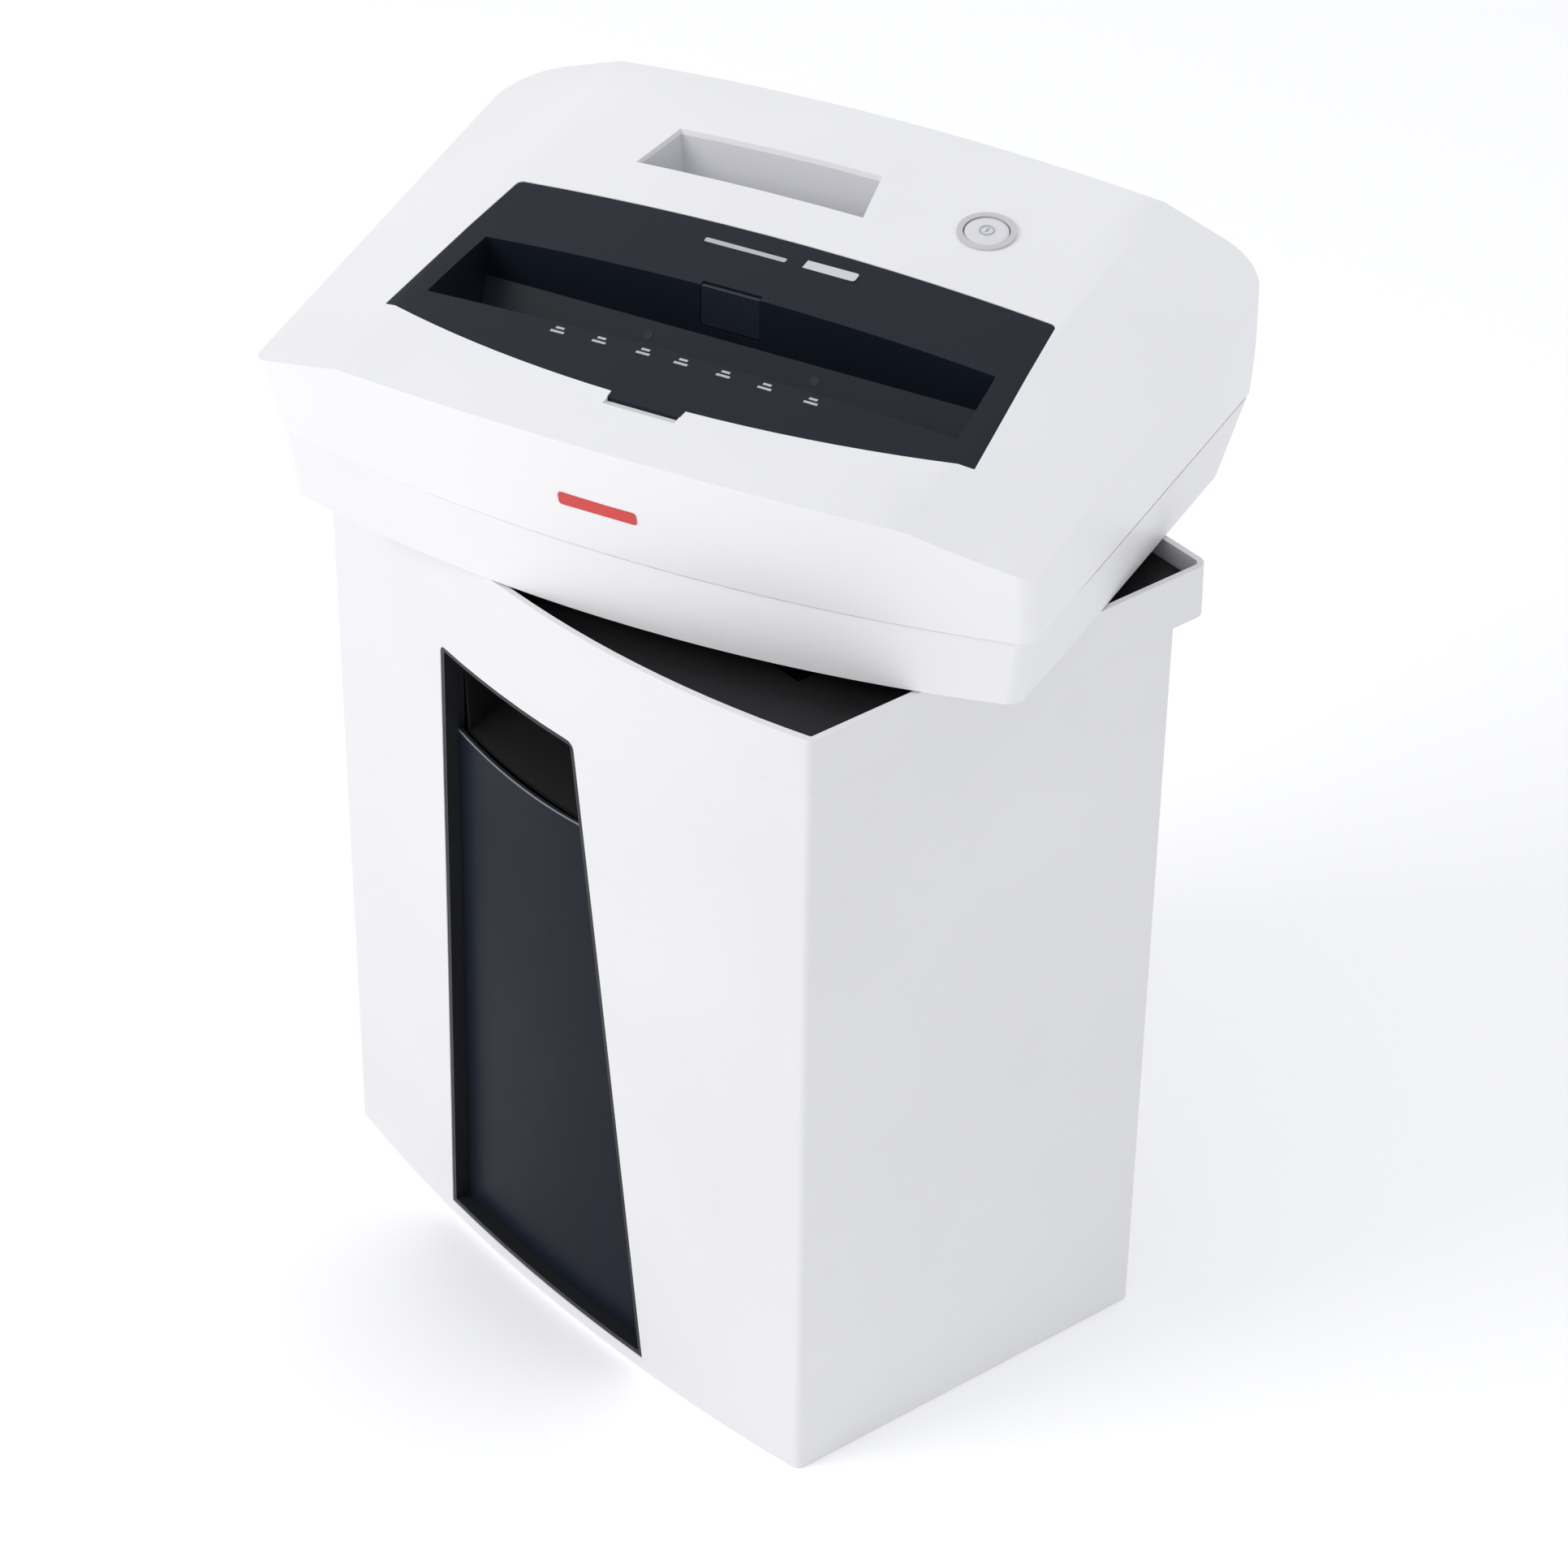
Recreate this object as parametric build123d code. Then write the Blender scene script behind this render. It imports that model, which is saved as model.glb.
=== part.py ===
from build123d import *
from math import acos, cos, pi, radians, sin, sqrt, tan
import os

# A desk-side paper shredder: a tapered waste bin with a window, a black support frame in the
# bin's mouth, and a cutting head that stands turned on that frame.
# Millimetres. Row frame: origin on the floor under the bin's centre, +Z up, the bin's front
# faces -Y. The head is modelled square to its own axes and then turned about Z by HEAD_TURN.

# ---- The paper slot sets the machine's width -----------------------------------------------------
SLOT_HALF_WIDTH = 114.0       # a sheet is up to 216 wide
SIDE_ROOM = 62.0              # gears, side plates and screws beside the slot
PARTING_HALF_WIDTH = SLOT_HALF_WIDTH + SIDE_ROOM

# ---- Bin -----------------------------------------------------------------------------------------
BIN_HEIGHT = 386.0            # floor to the rim
COLLAR_HEIGHT = 25.0          # rim band on top of the bin
RIM_HALF_WIDTH = PARTING_HALF_WIDTH - 9.0
RIM_FRONT = -106.0            # front corners of the rim
RIM_BACK = 108.0
RIM_BOW = 29.0                # how far the rim's front swells past its corners
BODY_STEP = 0.8               # the body stands this much inside the collar, all but the back
BODY_BACK = 93.0              # back of the body under the collar
FOOT_HALF_WIDTH = RIM_HALF_WIDTH - 5.0
FOOT_FRONT = -103.5
FOOT_BACK = 89.0
FOOT_BOW = 14.0
BIN_WALL = 3.0
BIN_CORNER_FRONT = 4.0
BIN_CORNER_BACK = 6.0

# ---- Window in the bin's front -------------------------------------------------------------------
WINDOW_CENTRE = -4.5
WINDOW_BOTTOM = 6.0
WINDOW_TOP = BIN_HEIGHT - COLLAR_HEIGHT - 32.0
WINDOW_HALF_TOP = 47.0
WINDOW_HALF_BOTTOM = 71.0
WINDOW_CORNER = 4.0
SURROUND_WIDTH = 2.5          # thickness of the frame that lines the window
SURROUND_DEPTH = 11.0
PANE_INSET = 7.0              # the pane lies this far behind the bin's front
PANE_THICKNESS = 2.0
PANE_TOP = WINDOW_TOP - 48.0  # the hand hold is the open part above the pane
PANE_SAG = 3.0
POCKET_BACK = -90.0           # back of the hand pocket behind the open part
POCKET_DROP = 9.0             # its floor starts this far below the pane's upper edge
POCKET_FLOOR_RISE = 22.0
POCKET_WALL = 2.0

# ---- Support frame -------------------------------------------------------------------------------
FRAME_THICKNESS = 3.0
FRAME_DROP = 9.0              # top of the frame below the rim
FRAME_CLEARANCE = 0.8         # round the frame, inside the collar
PAD_RADIUS = 7.0

# ---- Head: how it stands, and its outline at three heights ---------------------------------------
HEAD_TURN = 23.4              # degrees, counter-clockwise seen from above
SWIVEL_Y = 7.8                # the axis that the head turns on, in the bin's frame
HEAD_PIVOT_Y = 6.7            # the same axis in the head's own frame
HEAD_GAP = 0.8                # between the rim and the skirt
SKIRT_HEIGHT = 32.0           # lower housing, up to the parting line
SHOULDER_RISE = 50.0          # parting line to the level where the shoulder is measured
SKIRT_HALF_WIDTH = PARTING_HALF_WIDTH - 6.0
SKIRT_FRONT = -102.5
SKIRT_BACK = 96.0
SKIRT_BOW = 23.0
SKIRT_CORNER_BACK = 8.0
PARTING_FRONT = -105.0
PARTING_BACK = 115.0
PARTING_BOW = 21.0
PARTING_CORNER_BACK = 7.5
SHOULDER_HALF_WIDTH = PARTING_HALF_WIDTH + 5.0
SHOULDER_FRONT = -117.5
SHOULDER_BACK = 113.0
SHOULDER_BOW = 21.0
SHOULDER_CORNER_BACK = 20.0
HEAD_CORNER_FRONT = 8.0
HEAD_WALL = 2.5
TRAY_STEP = 1.0               # the tray's edge stands inside the cover's edge
TRAY_FLOOR = 3.0
TRAY_WALL = 4.5
LEDGE_THICKNESS = 2.5
LIP_THICKNESS = 1.6
LIP_HEIGHT = 5.0
PARTING_GAP = 0.9

# ---- Head: top surface, a shallow dome that rises towards the back -------------------------------
TOP_RISE = 75.0               # parting line to the top, over the turning axis
TOP_TILT = 7.0
DOME_DROP = 6.4               # the dome's fall at the facet lines
FACET_HALF_WIDTH = PARTING_HALF_WIDTH - 46.0
FACET_FALL = 0.367            # fall per millimetre outside the facet lines
SWEEP_RISE = 63.0             # the sides' lower faces: height of their edge at the back
SWEEP_DEPTH = 4.0             # how far they are drawn in there

# ---- Intake panel --------------------------------------------------------------------------------
PANEL_FRONT = -78.5
PANEL_BACK = 16.0
PANEL_BOW = 24.5
PANEL_GAP = 0.3
PANEL_THICKNESS = 4.0
PANEL_LIP = 4.0
TAB_X = 1.5
TAB_HALF_WIDTH = 18.5
TAB_REACH = 3.8
NOTCH_DEPTH = 2.0             # finger notch in the cover, in front of the tab
NOTCH_RADIUS = 9.0
FUNNEL_HALF_FRONT = SLOT_HALF_WIDTH + 10.0
FUNNEL_HALF_BACK = SLOT_HALF_WIDTH + 5.0
PANEL_HALF_FRONT = FUNNEL_HALF_FRONT + 12.0
PANEL_HALF_BACK = FUNNEL_HALF_BACK + 7.0
FUNNEL_FRONT = -70.0
FUNNEL_BACK = -25.0
FUNNEL_STEP_RISE = 16.0       # top of the slot to the foot of the upright back wall
FUNNEL_MOUTH_RISE = 65.0      # parting line to the mouth's front edge
SLOT_GAP = 7.0
SLOT_NECK = 6.0
FUNNEL_WALL = 2.0
SENSOR_X = 39.0
SENSOR_RADIUS = 2.2

# ---- Safety flap ---------------------------------------------------------------------------------
FLAP_X = -3.0
FLAP_HALF_WIDTH = 13.5
FLAP_THICKNESS = 1.8
FLAP_HEIGHT = 18.5
FLAP_AXIS_DROP = 8.5          # hinge axis below the flap's upper edge
FLAP_CLEARANCE = 0.4
FLAP_PIN_RADIUS = 1.0
FLAP_BARREL_RADIUS = 2.4
RUNNING_CLEARANCE = 0.05      # radial, on every shaft and pin

# ---- Grip cup ------------------------------------------------------------------------------------
GRIP_X = -31.0
GRIP_HALF_FRONT = 53.5
GRIP_HALF_BACK = 47.0
GRIP_FRONT = 44.0
GRIP_BACK = 71.0
GRIP_DRAFT = 4.0
GRIP_FLOOR_RISE = 50.0
GRIP_WALL = 2.0
GRIP_FLANGE = 6.0

# ---- Power button --------------------------------------------------------------------------------
BUTTON_X = 74.0
BUTTON_Y = 57.0
BUTTON_RADIUS = 9.6
BUTTON_CLEARANCE = 0.4
BEZEL_WALL = 1.6
BEZEL_FLANGE = 1.0
SEAT_GAP = 0.05               # under the bezel's flange
BUTTON_TRAVEL = 1.5

# ---- Cutting unit --------------------------------------------------------------------------------
NIP_Y = -45.0                 # the paper falls straight from the slot into the nip
ROLLER_MODULE = 1.5           # of the gears that join the rollers
ROLLER_TEETH = 22
DRIVE_TEETH = 44
DISC_OVERLAP = 3.0
GROOVE_CLEARANCE = 0.3
DISC_PITCH = 8.0
DISC_WIDTH = 3.7
JOURNAL_RADIUS = 6.0
BUSH_RADIUS = 9.0
BUSH_LENGTH = 6.0
PLATE_THICKNESS = 3.0
FLOOR_CLEARANCE = 5.7         # under the largest gear
FOOT_WIDTH = 12.0             # bent foot of each side plate
FOOT_START = 20.0
ROD_RADIUS = 4.0

# ---- Gear train ----------------------------------------------------------------------------------
IDLER_SMALL_TEETH = 16
MOTOR_MODULE = 1.0
IDLER_LARGE_TEETH = 40
PINION_TEETH = 12
PRESSURE_ANGLE = radians(20.0)
BACKLASH = 0.14               # share of a tooth's width that is taken off
IDLER_BEARING = 10.0          # degrees, direction from the rear roller to the idler
MOTOR_BEARING = -30.0         # degrees, direction from the idler to the motor
GEAR_WIDTH = 7.0
ADDENDUM = 0.85               # in modules
DEDENDUM = 1.15
IDLER_PIN_RADIUS = 3.0
MOTOR_RADIUS = 28.0
MOTOR_LENGTH = 88.0
MOTOR_SHAFT_RADIUS = 3.0
MOTOR_SCREW_CIRCLE = 18.0
FAN_BLADES = 8
FAN_RADIUS = 22.0
FAN_HUB_RADIUS = 8.0
FAN_LENGTH = 9.0

# ---- Screws, vents and electrics -----------------------------------------------------------------
SCREW_RADIUS = 1.8            # in the side plates
SCREW_HEAD_RADIUS = 3.6
SCREW_HEAD_HEIGHT = 2.6
SCREW_GRIP = 8.0              # how far it reaches past the plate
COVER_SCREW_RADIUS = 1.5
COVER_SCREW_HEAD = 3.2
COVER_SCREW_SINK = 1.6
BOSS_RADIUS = 4.5
VENT_FIRST_X = 30.0
VENT_PITCH = 9.0
VENT_COUNT = 9
VENT_HALF_WIDTH = 1.6
VENT_LOW_RISE = 14.0          # parting line to the foot and the head of each slit
VENT_HIGH_RISE = 44.0
BOARD_LEFT, BOARD_RIGHT = -112.0, -34.0
BOARD_FRONT, BOARD_BACK = 16.0, 76.0
BOARD_THICKNESS = 1.6
BOARD_RISE = 8.0              # the board's underside above the tray's floor
STANDOFF_INSET = 5.0
STANDOFF_RADIUS = 3.2
STANDOFF_PEG = 1.6
GLAND_X = 110.0
GLAND_RISE = 13.0             # its middle above the tray's floor
GLAND_RADIUS = 8.0
GLAND_BORE = 3.6
GLAND_LENGTH = 14.0

# ---- Values that follow from the ones above ------------------------------------------------------
COLLAR_BOTTOM = BIN_HEIGHT - COLLAR_HEIGHT
FRAME_TOP = BIN_HEIGHT - FRAME_DROP
SKIRT_Z = BIN_HEIGHT + HEAD_GAP
PARTING_Z = SKIRT_Z + SKIRT_HEIGHT
SHOULDER_Z = PARTING_Z + SHOULDER_RISE
TOP_Z = PARTING_Z + TOP_RISE
FLOOR_TOP = SKIRT_Z + TRAY_FLOOR
TILT_SLOPE = tan(radians(TOP_TILT))
COVER_LOWER_WALL = HEAD_WALL + SWEEP_DEPTH * 0.75

# Rollers: their gears set the spacing, and the largest gear sets their height over the floor.
ROLLER_SPACING = ROLLER_MODULE * ROLLER_TEETH
DISC_RADIUS = (ROLLER_SPACING + DISC_OVERLAP) / 2
GROOVE_RADIUS = ROLLER_SPACING - DISC_RADIUS - GROOVE_CLEARANCE
ROLLER_Z = FLOOR_TOP + ROLLER_MODULE * (DRIVE_TEETH / 2 + ADDENDUM) + FLOOR_CLEARANCE
FRONT_ROLLER_Y = NIP_Y - ROLLER_SPACING / 2
REAR_ROLLER_Y = NIP_Y + ROLLER_SPACING / 2
PLATE_INNER = SLOT_HALF_WIDTH + FUNNEL_WALL + 2.5
PLATE_OUTER = PLATE_INNER + PLATE_THICKNESS
ROLLER_HALF_LENGTH = PLATE_INNER - 4.5
DISC_COUNT = int(2 * (ROLLER_HALF_LENGTH - 2.0) / DISC_PITCH)
INNER_GEAR_X = PLATE_OUTER + 5.5
OUTER_GEAR_X = INNER_GEAR_X + GEAR_WIDTH + 3.0

# Slot: its foot stands just clear of the discs.
SLOT_FOOT_REACH = ROLLER_SPACING / 2 - SLOT_GAP / 2 - FUNNEL_WALL
SLOT_FOOT_Z = ROLLER_Z + sqrt((DISC_RADIUS + 0.6) ** 2 - SLOT_FOOT_REACH ** 2)
SLOT_Z = SLOT_FOOT_Z + SLOT_NECK
FUNNEL_STEP_Z = SLOT_Z + FUNNEL_STEP_RISE
FUNNEL_MOUTH_Z = PARTING_Z + FUNNEL_MOUTH_RISE
PLATE_TOP = SLOT_Z + 6.0

# Chute under the rollers, and the opening in the support frame under it.
CHUTE_HALF_WIDTH = SLOT_HALF_WIDTH + 3.0
CHUTE_FRONT = NIP_Y - 31.0
CHUTE_BACK = NIP_Y + 31.0
SHRED_HALF_WIDTH = CHUTE_HALF_WIDTH + 3.0
SHRED_FRONT = NIP_Y - 29.0
SHRED_BACK = NIP_Y + 35.0

# Gear train: each axis is a sum of pitch radii away from the one before.
DRIVE_DISTANCE = ROLLER_MODULE * (DRIVE_TEETH + IDLER_SMALL_TEETH) / 2
MOTOR_DISTANCE = MOTOR_MODULE * (IDLER_LARGE_TEETH + PINION_TEETH) / 2
IDLER_Y = REAR_ROLLER_Y + DRIVE_DISTANCE * cos(radians(IDLER_BEARING))
IDLER_Z = ROLLER_Z + DRIVE_DISTANCE * sin(radians(IDLER_BEARING))
MOTOR_Y = IDLER_Y + MOTOR_DISTANCE * cos(radians(MOTOR_BEARING))
MOTOR_Z = IDLER_Z + MOTOR_DISTANCE * sin(radians(MOTOR_BEARING))

# Flap: its upper edge lies just under the top surface.
FLAP_TOP = TOP_Z + TILT_SLOPE * FUNNEL_BACK - DOME_DROP * (FLAP_X / FACET_HALF_WIDTH) ** 2 - 0.6
FLAP_AXIS_Y = FUNNEL_BACK + 4.0
FLAP_AXIS_Z = FLAP_TOP - FLAP_AXIS_DROP

# Electrics, on the tray's floor and in its back wall.
BOARD_Z = FLOOR_TOP + BOARD_RISE
GLAND_Z = FLOOR_TOP + GLAND_RISE

# Side plates and the rods between them.
PLATE_FRONT = FRONT_ROLLER_Y - DISC_RADIUS - 6.5
PLATE_BACK = MOTOR_Y + 44.0
ROD_PLACES = [(FRONT_ROLLER_Y - 18.5, ROLLER_Z + DISC_RADIUS + 1),
              (REAR_ROLLER_Y + 24.5, ROLLER_Z + DISC_RADIUS + 1),
              (MOTOR_Y + 36.0, MOTOR_Z + 16.0)]


# ---- General helpers -----------------------------------------------------------------------------
def block(x0, x1, y0, y1, z0, z1):
    """A box between two corners."""
    middle = Pos((x0 + x1) / 2, (y0 + y1) / 2, (z0 + z1) / 2)
    return middle * Box(x1 - x0, y1 - y0, z1 - z0)


def rod(y, z, radius, x0, x1):
    """A round bar along X."""
    return Pos((x0 + x1) / 2, y, z) * Rot(0, 90, 0) * Cylinder(radius, x1 - x0)


def post(x, y, radius, z0, z1):
    """A round bar along Z."""
    return Pos(x, y, (z0 + z1) / 2) * Cylinder(radius, z1 - z0)


def joined(shapes):
    """The shapes fused to one."""
    first, *others = shapes
    return first.fuse(*others)


def group(shapes):
    """Separate solids kept together as one node."""
    return Compound([solid for shape in shapes for solid in shape.solids()])


def between(low, high, share):
    return low + (high - low) * share


def bowed_wire(half_width, front, back, bow, corner_front, corner_back, z):
    """A plan outline at height z: straight sides and back, and a front that swells forward."""
    arc = ThreePointArc((-half_width, front, z), (0, front - bow, z), (half_width, front, z))
    rest = Polyline((half_width, front, z), (half_width, back, z),
                    (-half_width, back, z), (-half_width, front, z))
    face = Face(Wire([arc, *rest.edges()]))
    corners = face.vertices()
    face = face.fillet_2d(corner_back, [v for v in corners if abs(v.Y - back) < 0.01])
    corners = face.vertices()
    face = face.fillet_2d(corner_front, [v for v in corners if abs(v.Y - front) < 0.01])
    return face.outer_wire()


def prism(points, z0, z1):
    """A polygon in plan, drawn up from z0 to z1."""
    face = Face(Polyline([(x, y, z0) for x, y in points], close=True).wire())
    return extrude(face, z1 - z0, dir=(0, 0, 1))


def loft_rectangles(sections):
    """A ruled solid through four-sided sections: z, front y, back y, half width there, centre x."""
    wires = []
    for z, front, back, half_front, half_back, x in sections:
        corners = [(x - half_front, front, z), (x + half_front, front, z),
                   (x + half_back, back, z), (x - half_back, back, z)]
        wires.append(Polyline(corners, close=True).wire())
    return Solid.make_loft(wires, ruled=True)


# ---- Bin -----------------------------------------------------------------------------------------
def bin_block(inset, z0, z1):
    """The bin body's outline between two heights, drawn in by inset on every side."""
    wires = []
    for z in (z0, z1):
        share = z / COLLAR_BOTTOM
        wires.append(bowed_wire(
            between(FOOT_HALF_WIDTH, RIM_HALF_WIDTH - BODY_STEP, share) - inset,
            between(FOOT_FRONT, RIM_FRONT + BODY_STEP, share) + inset,
            between(FOOT_BACK, BODY_BACK, share) - inset,
            between(FOOT_BOW, RIM_BOW, share),
            max(BIN_CORNER_FRONT - inset, 1.0), max(BIN_CORNER_BACK - inset, 2.0), z))
    return Solid.make_loft(wires, ruled=True)


def collar_block(inset, z0, z1):
    """The collar's outline between two heights, drawn in by inset."""
    wires = [bowed_wire(RIM_HALF_WIDTH - inset, RIM_FRONT + inset, RIM_BACK - inset, RIM_BOW,
                        max(BIN_CORNER_FRONT - inset, 1.0), max(BIN_CORNER_BACK - inset, 2.0), z)
             for z in (z0, z1)]
    return Solid.make_loft(wires, ruled=True)


def window_prism(grow, top, sag=0.0):
    """The window's outline drawn through the bin's front; grow widens it all round."""
    def half(z):
        share = (z - WINDOW_BOTTOM) / (WINDOW_TOP - WINDOW_BOTTOM)
        return between(WINDOW_HALF_BOTTOM, WINDOW_HALF_TOP, share) + grow
    low = WINDOW_BOTTOM - grow
    front = RIM_FRONT - RIM_BOW - 20
    right, left = WINDOW_CENTRE + half(top), WINDOW_CENTRE - half(top)
    sides = Polyline((left, front, top), (WINDOW_CENTRE - half(low), front, low),
                     (WINDOW_CENTRE + half(low), front, low), (right, front, top))
    if sag:
        upper = ThreePointArc((right, front, top), (WINDOW_CENTRE, front, top - sag), (left, front, top))
    else:
        upper = Line((right, front, top), (left, front, top))
    face = Face(Wire([*sides.edges(), upper.edge()]))
    if not sag:
        face = face.fillet_2d(WINDOW_CORNER + grow, [v for v in face.vertices() if v.Z > top - 0.01])
    return extrude(face, 70, dir=(0, 1, 0))


def make_bin_shell():
    """The white bin: one tapered shell, open at the top, with the window cut in its front."""
    shell = bin_block(0, 0, COLLAR_BOTTOM) - bin_block(BIN_WALL, BIN_WALL, COLLAR_BOTTOM + 1)
    return shell - window_prism(0, WINDOW_TOP)


def make_bin_collar():
    """The rim band: it sits on the shell and carries an inner ledge for the support frame."""
    band = collar_block(0, COLLAR_BOTTOM, BIN_HEIGHT)
    band = band - collar_block(BIN_WALL, COLLAR_BOTTOM + BIN_WALL, BIN_HEIGHT + 1)
    return band - bin_block(BIN_WALL, COLLAR_BOTTOM - 5, COLLAR_BOTTOM + 10)


def make_window_surround():
    """The black frame that lines the window and holds the pane in a rebate."""
    fit = 0.1
    band = bin_block(0.5, 1, COLLAR_BOTTOM) - bin_block(SURROUND_DEPTH, 1, COLLAR_BOTTOM)
    frame = band & window_prism(-fit, WINDOW_TOP - fit)
    flange = (bin_block(BIN_WALL + fit, 1, COLLAR_BOTTOM) - bin_block(SURROUND_DEPTH, 1, COLLAR_BOTTOM))
    frame = frame + (flange & window_prism(2 * fit + 2, WINDOW_TOP + 2 * fit + 2))
    frame = frame - window_prism(-SURROUND_WIDTH, WINDOW_TOP - SURROUND_WIDTH)
    groove = window_prism(1.2 - SURROUND_WIDTH, WINDOW_TOP - SURROUND_WIDTH)
    return frame - (bin_block(PANE_INSET, 1, COLLAR_BOTTOM) & groove)


def make_window_pane():
    """The smoked pane, with a sagging upper edge that leaves the hand hold open."""
    band = bin_block(PANE_INSET, 1, COLLAR_BOTTOM) - bin_block(PANE_INSET + PANE_THICKNESS, 1, COLLAR_BOTTOM)
    return band & window_prism(-SURROUND_WIDTH + 1.1, PANE_TOP, PANE_SAG)


def make_hand_pocket():
    """The black pocket behind the open top of the window, where a hand lifts the bin."""
    half = WINDOW_HALF_TOP - SURROUND_WIDTH
    low, high = PANE_TOP - POCKET_DROP, WINDOW_TOP - SURROUND_WIDTH
    front, back = RIM_FRONT - RIM_BOW, POCKET_BACK
    wall = POCKET_WALL

    def side_view(grow):
        outline = Polyline((0, front, low - grow), (0, front, high + grow), (0, back + grow, high + grow),
                           (0, back + grow, low + POCKET_FLOOR_RISE - grow), close=True)
        width = half + grow
        return Pos(WINDOW_CENTRE - width, 0, 0) * extrude(Face(outline.wire()), 2 * width, dir=(1, 0, 0))

    return (side_view(wall) - side_view(0)) & bin_block(SURROUND_DEPTH, 1, COLLAR_BOTTOM)


# ---- Support frame -------------------------------------------------------------------------------
def make_support_frame():
    """The black plate in the bin's mouth, standing on the collar's ledge by its turned-down edge."""
    inset = BIN_WALL + FRAME_CLEARANCE
    ledge = COLLAR_BOTTOM + BIN_WALL
    body = collar_block(inset, ledge, FRAME_TOP)
    hollow = collar_block(inset + FRAME_THICKNESS, ledge - 1, FRAME_TOP - FRAME_THICKNESS)
    opening = block(-SHRED_HALF_WIDTH, SHRED_HALF_WIDTH, SHRED_FRONT, SHRED_BACK, ledge, FRAME_TOP + 1)
    return body - hollow - opening


def make_glide_pads():
    """Four slippery pads, fixed to the frame, that the head stands and turns on."""
    reach = RIM_HALF_WIDTH - 20
    places = [(reach, 6), (-reach, -6), (0, SHRED_FRONT - 14), (0, RIM_BACK - 26)]
    return group(post(x, y, PAD_RADIUS, FRAME_TOP, SKIRT_Z) for x, y in places)


# ---- Head housing --------------------------------------------------------------------------------
def cover_wire(z, inset):
    """The cover's plan outline at height z."""
    share = (z - PARTING_Z) / SHOULDER_RISE
    return bowed_wire(
        between(PARTING_HALF_WIDTH, SHOULDER_HALF_WIDTH, share) - inset,
        between(PARTING_FRONT, SHOULDER_FRONT, share) + inset,
        between(PARTING_BACK, SHOULDER_BACK, share) - inset,
        between(PARTING_BOW, SHOULDER_BOW, share),
        HEAD_CORNER_FRONT - inset, between(PARTING_CORNER_BACK, SHOULDER_CORNER_BACK, share) - inset, z)


def tray_wire(z, inset):
    """The tray's plan outline at height z."""
    share = (z - SKIRT_Z) / SKIRT_HEIGHT
    return bowed_wire(
        between(SKIRT_HALF_WIDTH, PARTING_HALF_WIDTH - TRAY_STEP, share) - inset,
        between(SKIRT_FRONT, PARTING_FRONT + TRAY_STEP, share) + inset,
        between(SKIRT_BACK, PARTING_BACK - TRAY_STEP, share) - inset,
        between(SKIRT_BOW, PARTING_BOW, share),
        HEAD_CORNER_FRONT - inset, between(SKIRT_CORNER_BACK, PARTING_CORNER_BACK, share) - inset, z)


def top_height(x, y, drop=0.0):
    """Height of the top surface over a place in plan, inside the facet lines."""
    return TOP_Z + TILT_SLOPE * y - DOME_DROP * (x / FACET_HALF_WIDTH) ** 2 - drop


def under_top(drop):
    """All that lies below the top surface, or below it by drop."""
    low, reach, half_depth = PARTING_Z - 120, 210.0, 220.0
    def at(x, z):
        return (x, -half_depth, z - drop - TILT_SLOPE * half_depth)
    facet_z = TOP_Z - DOME_DROP
    edge_z = facet_z - FACET_FALL * (reach - FACET_HALF_WIDTH)
    dome = ThreePointArc(at(FACET_HALF_WIDTH, facet_z), at(0, TOP_Z), at(-FACET_HALF_WIDTH, facet_z))
    rest = Polyline(at(-FACET_HALF_WIDTH, facet_z), at(-reach, edge_z), at(-reach, low), at(reach, low),
                    at(reach, edge_z), at(FACET_HALF_WIDTH, facet_z))
    face = Face(Wire([dome, *rest.edges()]))
    tilt = radians(TOP_TILT)
    return extrude(face, 2 * half_depth / cos(tilt), dir=(0, cos(tilt), sin(tilt)))


def side_sweep(side):
    """What is taken off one side of the cover below the line that rises towards the back."""
    lean = (SHOULDER_HALF_WIDTH - PARTING_HALF_WIDTH) / SHOULDER_RISE
    start = Vector(side * PARTING_HALF_WIDTH, PARTING_FRONT + 12, PARTING_Z)
    upper = Vector(side * (PARTING_HALF_WIDTH + lean * SWEEP_RISE), PARTING_BACK, PARTING_Z + SWEEP_RISE)
    lower = Vector(side * (PARTING_HALF_WIDTH - SWEEP_DEPTH), PARTING_BACK, PARTING_Z)
    normal = (upper - start).cross(lower - start)
    if normal.X * side < 0:
        normal = normal * -1
    cutter = Box(500, 500, 40, align=(Align.CENTER, Align.CENTER, Align.MIN))
    return Plane(origin=start, z_dir=normal).location * cutter


def cover_block(inset, drop, z0):
    """The cover's outer or inner form."""
    high = PARTING_Z + TOP_RISE + 35
    form = Solid.make_loft([cover_wire(z0, inset), cover_wire(high, inset)], ruled=True)
    return form & under_top(drop)


def panel_prism(grow, tab):
    """The panel's outline drawn straight up through the cover."""
    low = PARTING_Z + 20
    half_front, half_back = PANEL_HALF_FRONT + grow, PANEL_HALF_BACK + grow
    front, back = PANEL_FRONT - grow * 0.6, PANEL_BACK + grow
    arc = ThreePointArc((-half_front, front, low), (0, PANEL_FRONT - PANEL_BOW - grow, low),
                        (half_front, front, low))
    rest = Polyline((half_front, front, low), (half_back, back, low), (-half_back, back, low),
                    (-half_front, front, low))
    face = Face(Wire([arc, *rest.edges()]))
    face = face.fillet_2d(3.0, [v for v in face.vertices() if v.Y > PANEL_BACK - 1])
    form = extrude(face, 120, dir=(0, 0, 1))
    if tab:
        reach = PANEL_FRONT - PANEL_BOW - TAB_REACH
        half = TAB_HALF_WIDTH + grow
        outline = [(TAB_X - half, PANEL_FRONT), (TAB_X - half + 2, reach - grow),
                   (TAB_X + half - 2, reach - grow), (TAB_X + half, PANEL_FRONT)]
        form = form + prism(outline, low, low + 120)
    return form


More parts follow.
